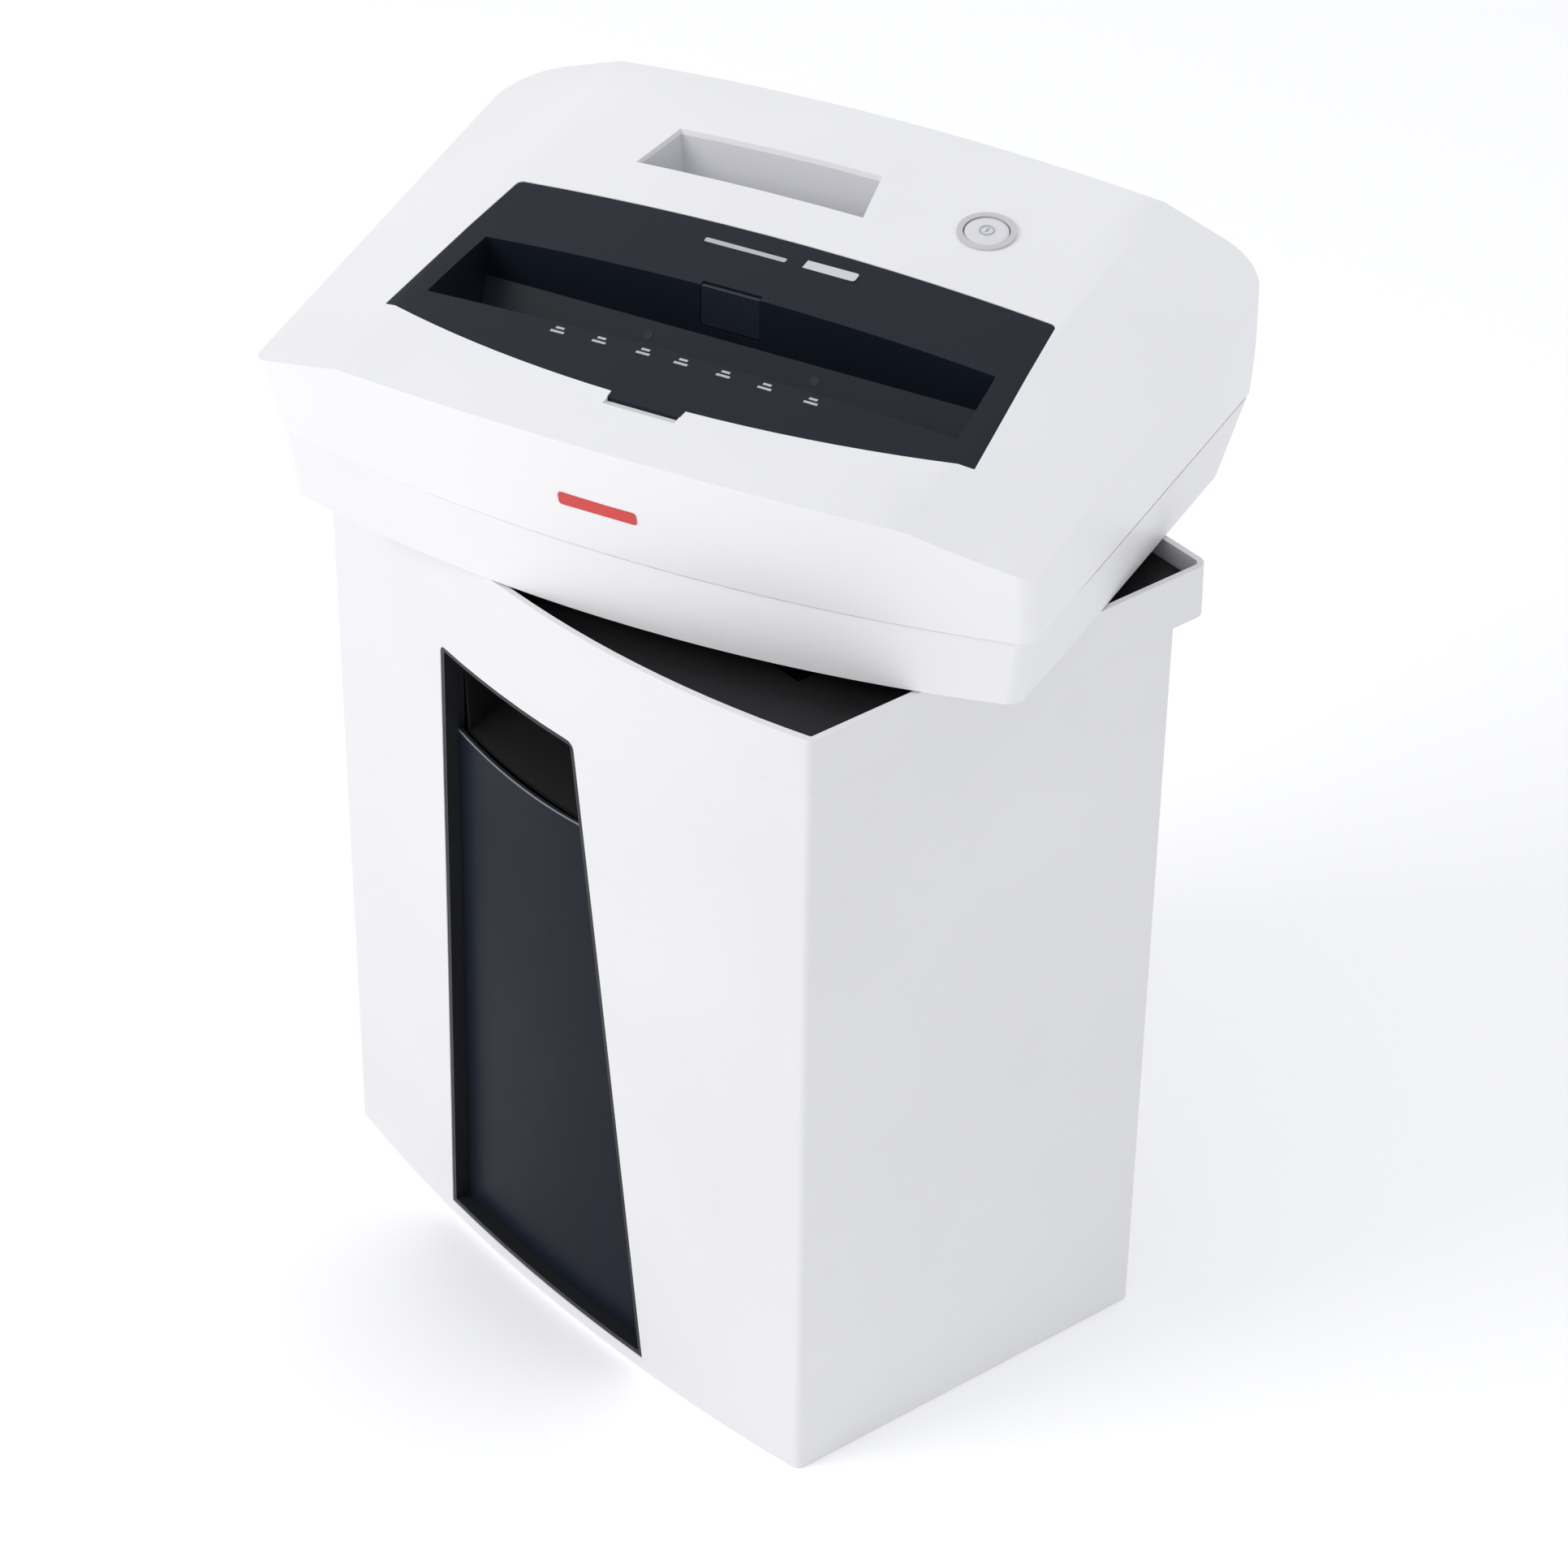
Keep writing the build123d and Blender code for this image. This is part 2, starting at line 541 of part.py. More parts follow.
def grip_sections(grow, low, high):
    """The grip cup's outline at two heights; it narrows downwards."""
    sections = []
    for z in (low, high):
        draw = GRIP_DRAFT * (TOP_Z - z) / (TOP_Z - PARTING_Z - GRIP_FLOOR_RISE) - grow
        sections.append((z, GRIP_FRONT + draw, GRIP_BACK - draw,
                         GRIP_HALF_FRONT - draw, GRIP_HALF_BACK - draw, GRIP_X))
    return loft_rectangles(sections)


def surface_plane(x, y):
    """The plane that touches the top surface at a place, its normal pointing out."""
    slope_x = -2 * DOME_DROP * x / FACET_HALF_WIDTH ** 2
    return Plane(origin=(x, y, top_height(x, y) + SEAT_GAP), x_dir=(1, 0, slope_x),
                 z_dir=(-slope_x, -TILT_SLOPE, 1))


def boss_places():
    """Where the cover is screwed to the tray."""
    reach = SKIRT_HALF_WIDTH - 12.0
    return [(x, y) for x in (-reach, reach) for y in (PARTING_FRONT + 21.0, SKIRT_BACK - 18.0)]


def make_top_cover():
    """The white upper shell, with holes for the panel, the grip cup and the button."""
    shell = cover_block(0, 0, PARTING_Z)
    for side in (-1, 1):
        shell = shell - side_sweep(side)
    shell = shell - cover_block(COVER_LOWER_WALL, HEAD_WALL, PARTING_Z - 1)
    shell = shell - panel_prism(PANEL_GAP, True)
    notch_y = PANEL_FRONT - PANEL_BOW - TAB_REACH
    notch_z = top_height(TAB_X, notch_y) - NOTCH_DEPTH + NOTCH_RADIUS
    notch_reach = TAB_HALF_WIDTH - 2
    shell = shell - rod(notch_y, notch_z, NOTCH_RADIUS, TAB_X - notch_reach, TAB_X + notch_reach)
    shell = shell - grip_sections(0, PARTING_Z + 30, TOP_Z + 30)
    hole = Cylinder(BUTTON_RADIUS + BUTTON_CLEARANCE + BEZEL_WALL + 0.2, 30)
    shell = shell - surface_plane(BUTTON_X, BUTTON_Y).location * hole
    bosses = [post(x, y, BOSS_RADIUS, FLOOR_TOP, TOP_Z + 20) & under_top(0.5) for x, y in boss_places()]
    shell = joined([shell, *bosses])
    for x, y in boss_places():
        shell = shell - post(x, y, COVER_SCREW_RADIUS + RUNNING_CLEARANCE, FLOOR_TOP - 1, FLOOR_TOP + 16)
    vents = []
    for step in range(VENT_COUNT):
        x = VENT_FIRST_X + VENT_PITCH * step
        vents.append(block(x - VENT_HALF_WIDTH, x + VENT_HALF_WIDTH, PARTING_BACK - 25, PARTING_BACK + 10,
                           PARTING_Z + VENT_LOW_RISE, PARTING_Z + VENT_HIGH_RISE))
    return shell - joined(vents)


def tray_edge(inset, z0, z1):
    """An upright form with the tray's outline at the parting line."""
    wires = [bowed_wire(PARTING_HALF_WIDTH - inset, PARTING_FRONT + inset, PARTING_BACK - inset, PARTING_BOW,
                        max(HEAD_CORNER_FRONT - inset, 1.0), max(PARTING_CORNER_BACK - inset, 1.0), z)
             for z in (z0, z1)]
    return Solid.make_loft(wires, ruled=True)


def make_base_tray():
    """The white lower housing: sloping skirt, floor with the chute, and a lip inside the cover."""
    top = PARTING_Z - PARTING_GAP
    shell = Solid.make_loft([tray_wire(SKIRT_Z, 0), tray_wire(top, 0)], ruled=True)
    inside = [tray_wire(FLOOR_TOP, TRAY_WALL), tray_wire(top + 10, TRAY_WALL)]
    shell = shell - Solid.make_loft(inside, ruled=True)
    lip_outer = COVER_LOWER_WALL + 0.4
    lip_inner = lip_outer + LIP_THICKNESS
    clear = tray_edge(lip_inner, top - 10, PARTING_Z + 10)
    ledge = tray_edge(TRAY_WALL, top - LEDGE_THICKNESS, top) - clear
    lip = tray_edge(lip_outer, top - 1, PARTING_Z + LIP_HEIGHT) - clear
    shell = joined([shell, ledge, lip])
    shell = shell - block(-CHUTE_HALF_WIDTH, CHUTE_HALF_WIDTH, CHUTE_FRONT, CHUTE_BACK,
                          SKIRT_Z - 1, FLOOR_TOP + 1)
    for x, y in boss_places():
        shell = shell - post(x, y, COVER_SCREW_RADIUS + 0.2, SKIRT_Z - 1, FLOOR_TOP + 1)
        shell = shell - post(x, y, COVER_SCREW_HEAD + 0.2, SKIRT_Z - 1, SKIRT_Z + COVER_SCREW_SINK)
    for side in (-1, 1):
        shell = shell - side_sweep(side)
    return shell - gland_bore(GLAND_RADIUS + 0.1)


def gland_bore(radius):
    """A bar through the tray's back wall where the power lead's gland sits."""
    return Pos(GLAND_X, PARTING_BACK - 10, GLAND_Z) * Rot(90, 0, 0) * Cylinder(radius, 40)


def make_cord_gland():
    """The rubber gland for the power lead: a grooved bush through the tray's back wall."""
    middle = between(SKIRT_BACK, PARTING_BACK - TRAY_STEP, (GLAND_Z - SKIRT_Z) / SKIRT_HEIGHT)
    along = Pos(GLAND_X, middle - 2.0, GLAND_Z) * Rot(90, 0, 0)
    bush = along * Cylinder(GLAND_RADIUS, GLAND_LENGTH)
    return bush - along * Cylinder(GLAND_BORE, 60)


def make_intake_panel():
    """The black panel: its plate, the lip under the cover, the paper funnel and its finger tab."""
    plate = panel_prism(0, True) & under_top(0.2)
    plate = plate - under_top(PANEL_THICKNESS)
    lip = panel_prism(PANEL_LIP, False) & under_top(HEAD_WALL + 0.3)
    lip = lip - under_top(PANEL_THICKNESS)
    funnel = funnel_form(FUNNEL_WALL) & under_top(0.2)
    lug_top = top_height(0, FUNNEL_BACK, 3)
    lugs = [block(x - 1.2, x + 1.2, FUNNEL_BACK, FUNNEL_BACK + 8, FLAP_AXIS_Z - 4, lug_top)
            for x in (FLAP_X - FLAP_HALF_WIDTH - 2.2, FLAP_X + FLAP_HALF_WIDTH + 2.2)]
    panel = joined([plate, lip, funnel, *lugs]) - funnel_form(0)
    reach = FLAP_HALF_WIDTH + FLAP_CLEARANCE
    low = FLAP_TOP - FLAP_HEIGHT - 2 * FLAP_CLEARANCE
    panel = panel - block(FLAP_X - reach, FLAP_X + reach, FUNNEL_BACK - 1, FUNNEL_BACK + FLAP_THICKNESS + 1.0,
                          low, FLAP_TOP + 10)
    panel = panel - block(FLAP_X - reach, FLAP_X + reach, FUNNEL_BACK - 1, FUNNEL_BACK + 9,
                          low, FLAP_AXIS_Z + FLAP_BARREL_RADIUS + 0.5)
    panel = panel - rod(FLAP_AXIS_Y, FLAP_AXIS_Z, FLAP_PIN_RADIUS, FLAP_X - 25, FLAP_X + 25)
    for side in (-1, 1):
        panel = panel - sensor_bar(side, SENSOR_RADIUS + 0.1)
    return panel


def funnel_form(grow):
    """The space that guides the paper: a wide mouth, an upright back wall and a narrow slot."""
    half_gap = SLOT_GAP / 2
    return loft_rectangles([
        (SLOT_FOOT_Z, NIP_Y - half_gap - grow, NIP_Y + half_gap + grow,
         SLOT_HALF_WIDTH + grow, SLOT_HALF_WIDTH + grow, 0),
        (SLOT_Z, NIP_Y - half_gap - grow, NIP_Y + half_gap + grow,
         SLOT_HALF_WIDTH + grow, SLOT_HALF_WIDTH + grow, 0),
        (FUNNEL_STEP_Z, between(NIP_Y - half_gap, FUNNEL_FRONT, 0.5) - grow, FUNNEL_BACK + grow,
         between(SLOT_HALF_WIDTH, FUNNEL_HALF_FRONT, 0.5) + grow, FUNNEL_HALF_BACK + grow, 0),
        (FUNNEL_MOUTH_Z, FUNNEL_FRONT - grow, FUNNEL_BACK + grow,
         FUNNEL_HALF_FRONT + grow, FUNNEL_HALF_BACK + grow, 0),
        (TOP_Z + 20, FUNNEL_FRONT - grow, FUNNEL_BACK + grow,
         FUNNEL_HALF_FRONT + grow, FUNNEL_HALF_BACK + grow, 0)])


def make_safety_flap():
    """The flap in the funnel's back wall: a flat leaf with a hinge barrel behind it."""
    leaf = block(FLAP_X - FLAP_HALF_WIDTH, FLAP_X + FLAP_HALF_WIDTH,
                 FUNNEL_BACK + 0.2, FUNNEL_BACK + 0.2 + FLAP_THICKNESS, FLAP_TOP - FLAP_HEIGHT, FLAP_TOP)
    barrel = rod(FLAP_AXIS_Y, FLAP_AXIS_Z, FLAP_BARREL_RADIUS, FLAP_X - FLAP_HALF_WIDTH,
                 FLAP_X + FLAP_HALF_WIDTH - 6)
    flap = leaf + barrel
    return flap - rod(FLAP_AXIS_Y, FLAP_AXIS_Z, FLAP_PIN_RADIUS + RUNNING_CLEARANCE, FLAP_X - 30, FLAP_X + 30)


def make_flap_pin():
    """The steel pin that the flap hangs on, pressed into two lugs behind the funnel."""
    reach = FLAP_HALF_WIDTH + 3.4
    return rod(FLAP_AXIS_Y, FLAP_AXIS_Z, FLAP_PIN_RADIUS, FLAP_X - reach, FLAP_X + reach)


def make_flap_spring():
    """The small torsion spring on the pin, closely wound beside the hinge barrel."""
    wire, turns = 0.35, 5
    pitch = 2.6 * wire
    start = FLAP_X + FLAP_HALF_WIDTH - 5.4
    radius = FLAP_PIN_RADIUS + RUNNING_CLEARANCE + wire
    starts = [start + step * pitch for step in range(turns)]
    coil = [rod(FLAP_AXIS_Y, FLAP_AXIS_Z, radius + wire, left, left + 1.5 * wire) for left in starts]
    core = rod(FLAP_AXIS_Y, FLAP_AXIS_Z, radius, start, start + turns * pitch)
    return joined([core, *coil]) - rod(FLAP_AXIS_Y, FLAP_AXIS_Z, radius - wire, FLAP_X - 30, FLAP_X + 30)


def sensor_bar(side, radius):
    """A short bar square to the funnel's lower back wall, where a light sensor looks across."""
    low_y, high_y = NIP_Y + SLOT_GAP / 2, FUNNEL_BACK
    wall = Vector(0, high_y - low_y, FUNNEL_STEP_Z - SLOT_Z).normalized()
    centre = Vector(side * SENSOR_X, between(low_y, high_y, 0.72), between(SLOT_Z, FUNNEL_STEP_Z, 0.72))
    normal = Vector(0, -wall.Z, wall.Y)
    return Plane(origin=centre - normal * 1.2, x_dir=(1, 0, 0), z_dir=normal).location * Cylinder(radius, 2.8)


def make_sensor_windows():
    """Two clear lenses in the funnel's back wall, in front of the paper sensor."""
    return group(sensor_bar(side, SENSOR_RADIUS) for side in (-1, 1))


def make_grip_cup():
    """The cup under the cover's opening that fingers reach into to lift the head off the bin."""
    floor_z = PARTING_Z + GRIP_FLOOR_RISE
    cup = grip_sections(GRIP_WALL, floor_z - GRIP_WALL, TOP_Z + 30)
    flange = grip_sections(GRIP_FLANGE, PARTING_Z + 60, TOP_Z + 30) - under_top(HEAD_WALL + 0.1 + GRIP_WALL)
    return ((cup + flange) & under_top(HEAD_WALL + 0.1)) - grip_sections(0, floor_z, TOP_Z + 30)


def make_button_bezel():
    """The grey ring round the button, with two arms down to the switch board."""
    inner = BUTTON_RADIUS + BUTTON_CLEARANCE
    outer = inner + BEZEL_WALL
    down = (Align.CENTER, Align.CENTER, Align.MAX)
    up = (Align.CENTER, Align.CENTER, Align.MIN)
    ring = Cylinder(outer, 8, align=down) + Cylinder(outer + 1.0, BEZEL_FLANGE, align=up)
    arms = [Pos(side * (outer - 0.8), 0, -7) * Box(1.6, 6, 13, align=down) for side in (-1, 1)]
    ring = joined([ring, *arms]) - Cylinder(inner, 40)
    return surface_plane(BUTTON_X, BUTTON_Y).location * ring


def make_power_button():
    """The push button: a slightly crowned cap with a stem."""
    down = (Align.CENTER, Align.CENTER, Align.MAX)
    cap = Pos(0, 0, 0.8) * Cylinder(BUTTON_RADIUS, 5, align=down)
    crown = Pos(0, 0, 1.2 - 60) * Sphere(60)
    cap = cap & crown
    stem = Pos(0, 0, -3) * Cylinder(2.5, 9, align=down)
    return surface_plane(BUTTON_X, BUTTON_Y).location * (cap + stem)


def make_power_switch():
    """The switch board under the button, with its push switch."""
    down = (Align.CENTER, Align.CENTER, Align.MAX)
    board = Pos(0, 0, -20) * Box(30, 18, 1.6, align=down)
    body = Pos(0, 0, -20) * Box(10, 10, 4, align=(Align.CENTER, Align.CENTER, Align.MIN))
    plunger = Pos(0, 0, -16) * Cylinder(1.8, 2.0, align=(Align.CENTER, Align.CENTER, Align.MIN))
    return surface_plane(BUTTON_X, BUTTON_Y).location * joined([board, body, plunger])


# ---- Cutting unit --------------------------------------------------------------------------------
def make_side_plate(side):
    """A steel side plate that carries the rollers, with bores for the bushes and the rods."""
    inner, outer = sorted((side * PLATE_INNER, side * PLATE_OUTER))
    plate = block(inner, outer, PLATE_FRONT, PLATE_BACK, FLOOR_TOP, PLATE_TOP)
    for y in (FRONT_ROLLER_Y, REAR_ROLLER_Y):
        plate = plate - rod(y, ROLLER_Z, BUSH_RADIUS, inner - 1, outer + 1)
    for y, z in ROD_PLACES:
        plate = plate - rod(y, z, SCREW_RADIUS + 0.2, inner - 1, outer + 1)
    if side > 0:
        plate = plate - rod(MOTOR_Y, MOTOR_Z, 9.0, inner - 1, outer + 1)
        plate = plate - rod(IDLER_Y, IDLER_Z, IDLER_PIN_RADIUS, inner - 1, outer + 1)
        for y, z in motor_screw_places():
            plate = plate - rod(y, z, SCREW_RADIUS + 0.2, inner - 1, outer + 1)
    foot_x = sorted((side * PLATE_OUTER, side * (PLATE_OUTER + FOOT_WIDTH)))
    foot = block(foot_x[0], foot_x[1], FOOT_START, PLATE_BACK, FLOOR_TOP, FLOOR_TOP + PLATE_THICKNESS)
    return plate + foot


def make_roller(y, first_centre, right_end):
    """A cutting roller: one steel bar with cutting discs, grooves between them and two journals."""
    roller = rod(y, ROLLER_Z, GROOVE_RADIUS, -ROLLER_HALF_LENGTH, ROLLER_HALF_LENGTH)
    discs = [rod(y, ROLLER_Z, DISC_RADIUS, centre - DISC_WIDTH / 2, centre + DISC_WIDTH / 2)
             for centre in [first_centre + DISC_PITCH * step for step in range(DISC_COUNT)]]
    journal = rod(y, ROLLER_Z, JOURNAL_RADIUS, -PLATE_OUTER - 2.5, right_end)
    return joined([roller, journal, *discs])


def make_roller_bearings():
    """The four sintered bushes in the side plates."""
    middle = (PLATE_INNER + PLATE_OUTER) / 2
    rings = []
    for side in (-1, 1):
        for y in (FRONT_ROLLER_Y, REAR_ROLLER_Y):
            left, right = side * middle - BUSH_LENGTH / 2, side * middle + BUSH_LENGTH / 2
            bore = rod(y, ROLLER_Z, JOURNAL_RADIUS + RUNNING_CLEARANCE, left - 1, right + 1)
            rings.append(rod(y, ROLLER_Z, BUSH_RADIUS, left, right) - bore)
    return group(rings)


def make_stripper(y, side, groove_first):
    """A comb whose teeth lie in one roller's grooves and scrape the shreds off."""
    back = y + side * (DISC_RADIUS + 1.0)
    low, high = ROLLER_Z - 24, ROLLER_Z + 4
    bar_y = sorted((back, back + side * 3.5))
    bar = block(-PLATE_INNER, PLATE_INNER, bar_y[0], bar_y[1], low, high)
    tip = y - side * 8
    tooth_y = sorted((tip, back + side * 1.0))
    half = (DISC_PITCH - DISC_WIDTH) / 2 - 0.5
    teeth = [block(x - half, x + half, tooth_y[0], tooth_y[1], low, ROLLER_Z)
             for x in [groove_first + DISC_PITCH * step for step in range(DISC_COUNT)]]
    clear = rod(y, ROLLER_Z, GROOVE_RADIUS + 0.5, -PLATE_INNER + 0.5, PLATE_INNER - 0.5)
    return joined([bar, *teeth]) - clear


def make_tie_rods():
    """Three bars that hold the side plates apart."""
    bore, depth = SCREW_RADIUS + 0.1, SCREW_GRIP + 1
    return group(rod(y, z, ROD_RADIUS, -PLATE_INNER, PLATE_INNER)
                 - rod(y, z, bore, -PLATE_INNER - 1, -PLATE_INNER + depth)
                 - rod(y, z, bore, PLATE_INNER - depth, PLATE_INNER + 1) for y, z in ROD_PLACES)


def make_tie_rod_screws():
    """One screw at each end of each tie rod."""
    screws = []
    for y, z in ROD_PLACES:
        for side in (-1, 1):
            head = sorted((side * PLATE_OUTER, side * (PLATE_OUTER + SCREW_HEAD_HEIGHT)))
            shank = sorted((side * (PLATE_INNER - SCREW_GRIP), side * (PLATE_OUTER + 1)))
            screws.append(rod(y, z, SCREW_HEAD_RADIUS, *head) + rod(y, z, SCREW_RADIUS, *shank))
    return group(screws)


# ---- Gear train ----------------------------------------------------------------------------------
def meshed_turn(teeth, turn, mate_teeth, bearing):
    """The mate's turn in degrees that puts its gap on the first gear's tooth, bearing degrees away."""
    pitch, mate_pitch = 360.0 / teeth, 360.0 / mate_teeth
    share = ((bearing - turn) / pitch) % 1.0
    return bearing + 180.0 - mate_pitch * (0.5 - share)


def gear_face(teeth, module, turn, x, y, z):
    """An involute gear's outline in a plane square to X."""
    pitch_radius = module * teeth / 2
    base = pitch_radius * cos(PRESSURE_ANGLE)
    tip = pitch_radius + ADDENDUM * module
    root = pitch_radius - DEDENDUM * module
    half_pitch = pi / (2 * teeth) * (1 - BACKLASH)

    def roll(radius):
        angle = acos(min(base / radius, 1.0))
        return tan(angle) - angle

    at_pitch = roll(pitch_radius)
    start = max(base, root)
    radii = [start + (tip - start) * step / 3 for step in range(4)]
    flank = [(radius, half_pitch + at_pitch - roll(radius)) for radius in radii]
    if root < base:
        flank = [(root, flank[0][1])] + flank
    points = []
    for tooth in range(teeth):
        centre = radians(turn) + 2 * pi * tooth / teeth
        side_one = [(radius, centre - angle) for radius, angle in flank]
        side_two = [(radius, centre + angle) for radius, angle in reversed(flank)]
        points += side_one + side_two
    corners = [(x, y + radius * cos(angle), z + radius * sin(angle)) for radius, angle in points]
    return Face(Polyline(corners, close=True).wire())


def make_gear(teeth, module, turn, x, width, y, z, bore):
    """A spur gear on a shaft along X."""
    gear = extrude(gear_face(teeth, module, turn, x, y, z), width, dir=(1, 0, 0))
    return gear - rod(y, z, bore, x - 1, x + width + 1)


FRONT_TURN = 0.0
REAR_TURN = meshed_turn(ROLLER_TEETH, FRONT_TURN, ROLLER_TEETH, 0.0)
DRIVE_TURN = 0.0
IDLER_SMALL_TURN = meshed_turn(DRIVE_TEETH, DRIVE_TURN, IDLER_SMALL_TEETH, IDLER_BEARING)
IDLER_LARGE_TURN = 0.0
PINION_TURN = meshed_turn(IDLER_LARGE_TEETH, IDLER_LARGE_TURN, PINION_TEETH, MOTOR_BEARING)


def make_idler_gear():
    """The compound gear: a large wheel driven by the motor and a small one that drives the roller."""
    wheel_face = gear_face(IDLER_LARGE_TEETH, MOTOR_MODULE, IDLER_LARGE_TURN, INNER_GEAR_X, IDLER_Y, IDLER_Z)
    small_face = gear_face(IDLER_SMALL_TEETH, ROLLER_MODULE, IDLER_SMALL_TURN, OUTER_GEAR_X, IDLER_Y, IDLER_Z)
    wheel = extrude(wheel_face, GEAR_WIDTH, dir=(1, 0, 0))
    small = extrude(small_face, GEAR_WIDTH, dir=(1, 0, 0))
    hub = rod(IDLER_Y, IDLER_Z, 8.0, INNER_GEAR_X + GEAR_WIDTH - 1, OUTER_GEAR_X + 1)
    bore = rod(IDLER_Y, IDLER_Z, IDLER_PIN_RADIUS + RUNNING_CLEARANCE, INNER_GEAR_X - 1, OUTER_GEAR_X + 20)
    return joined([wheel, small, hub]) - bore


def make_idler_pin():
    """The pin that the idler turns on, pressed into the right side plate, with a collar at its end."""
    end = OUTER_GEAR_X + GEAR_WIDTH
    pin = rod(IDLER_Y, IDLER_Z, IDLER_PIN_RADIUS, PLATE_INNER, end + 3)
    return joined([pin, rod(IDLER_Y, IDLER_Z, 5.0, end + 0.6, end + 2.4),
                   rod(IDLER_Y, IDLER_Z, 5.0, PLATE_OUTER, INNER_GEAR_X - 0.6)])


# ---- Motor ---------------------------------------------------------------------------------------
def motor_screw_places():
    """Two screws that fix the motor to the right side plate."""
    return [(MOTOR_Y + MOTOR_SCREW_CIRCLE * cos(angle), MOTOR_Z + MOTOR_SCREW_CIRCLE * sin(angle))
            for angle in (radians(75), radians(255))]


def make_motor_can():
    """The motor's closed can, with a nose towards the gears and a vented tail cap."""
    start = PLATE_INNER - MOTOR_LENGTH
    can = rod(MOTOR_Y, MOTOR_Z, MOTOR_RADIUS, start, PLATE_INNER)
    nose = rod(MOTOR_Y, MOTOR_Z, 8.8, PLATE_INNER - 1, PLATE_OUTER + 1)
    tail = rod(MOTOR_Y, MOTOR_Z, 10.0, start - 5, start + 1)
    can = joined([can, nose, tail])
    can = can - rod(MOTOR_Y, MOTOR_Z, MOTOR_SHAFT_RADIUS + RUNNING_CLEARANCE, start - 10, PLATE_OUTER + 10)
    for y, z in motor_screw_places():
        can = can - rod(y, z, SCREW_RADIUS + 0.1, PLATE_INNER - 7, PLATE_INNER + 1)
    return can


def make_motor_shaft():
    """The motor's shaft, which reaches out at both ends."""
    left, right = PLATE_INNER - MOTOR_LENGTH - 18, INNER_GEAR_X + GEAR_WIDTH + 1
    return rod(MOTOR_Y, MOTOR_Z, MOTOR_SHAFT_RADIUS, left, right)


def make_cooling_fan():
    """The fan on the motor's tail: a hub with flat blades."""
    end = PLATE_INNER - MOTOR_LENGTH - 6.5
    hub = rod(MOTOR_Y, MOTOR_Z, FAN_HUB_RADIUS, end - FAN_LENGTH, end)
    blade = block(end - FAN_LENGTH + 1, end - 1, -0.7, 0.7, FAN_HUB_RADIUS - 2, FAN_RADIUS)
    blades = [Pos(0, MOTOR_Y, MOTOR_Z) * Rot(step * 360 / FAN_BLADES, 0, 0) * blade
              for step in range(FAN_BLADES)]
    return joined([hub, *blades]) - rod(MOTOR_Y, MOTOR_Z, MOTOR_SHAFT_RADIUS, end - 20, end + 20)


def make_motor_screws():
    """The screws that hold the motor, seen outside the side plate."""
    return group(rod(y, z, SCREW_HEAD_RADIUS, PLATE_OUTER, PLATE_OUTER + SCREW_HEAD_HEIGHT)
                 + rod(y, z, SCREW_RADIUS, PLATE_INNER - 6, PLATE_OUTER + 1) for y, z in motor_screw_places())


# ---- Electrics -----------------------------------------------------------------------------------
def board_corners():
    """Where the board stands on its posts."""
    return [(x, y) for x in (BOARD_LEFT + STANDOFF_INSET, BOARD_RIGHT - STANDOFF_INSET)
            for y in (BOARD_FRONT + STANDOFF_INSET, BOARD_BACK - STANDOFF_INSET)]


def make_control_board():
    """The control board that runs the motor, starts it on paper and stops it."""
    board = block(BOARD_LEFT, BOARD_RIGHT, BOARD_FRONT, BOARD_BACK, BOARD_Z, BOARD_Z + BOARD_THICKNESS)
    for x, y in board_corners():
        board = board - post(x, y, STANDOFF_PEG + 0.1, BOARD_Z - 1, BOARD_Z + 3)
    return board


def make_board_standoffs():
    """Four posts from the tray's floor, each with a peg through the board."""
    return group(post(x, y, STANDOFF_RADIUS, FLOOR_TOP, BOARD_Z)
                 + post(x, y, STANDOFF_PEG, BOARD_Z - 1, BOARD_Z + 4) for x, y in board_corners())


def make_capacitor():
    """The motor's run capacitor, standing on the board."""
    top = BOARD_Z + BOARD_THICKNESS
    return post(BOARD_LEFT + 24, BOARD_BACK - 20, 10.0, top, top + 30)


def make_relay():
    """The relay that switches the motor."""
    top = BOARD_Z + BOARD_THICKNESS
    return block(BOARD_RIGHT - 34, BOARD_RIGHT - 14, BOARD_FRONT + 14, BOARD_FRONT + 42, top, top + 16)


def make_cover_screws():
    """Four screws from below that hold the cover to the tray."""
    return group(post(x, y, COVER_SCREW_HEAD, SKIRT_Z + 0.1, SKIRT_Z + COVER_SCREW_SINK)
                 + post(x, y, COVER_SCREW_RADIUS, SKIRT_Z + 1, FLOOR_TOP + 14) for x, y in boss_places())


# ---- Which piece is where ------------------------------------------------------------------------
def bin_nodes():
    return {
        "bin_shell": make_bin_shell(),
        "bin_collar": make_bin_collar(),
        "window_surround": make_window_surround(),
        "window_pane": make_window_pane(),
        "hand_pocket": make_hand_pocket(),
        "support_frame": make_support_frame(),
        "glide_pads": make_glide_pads(),
    }


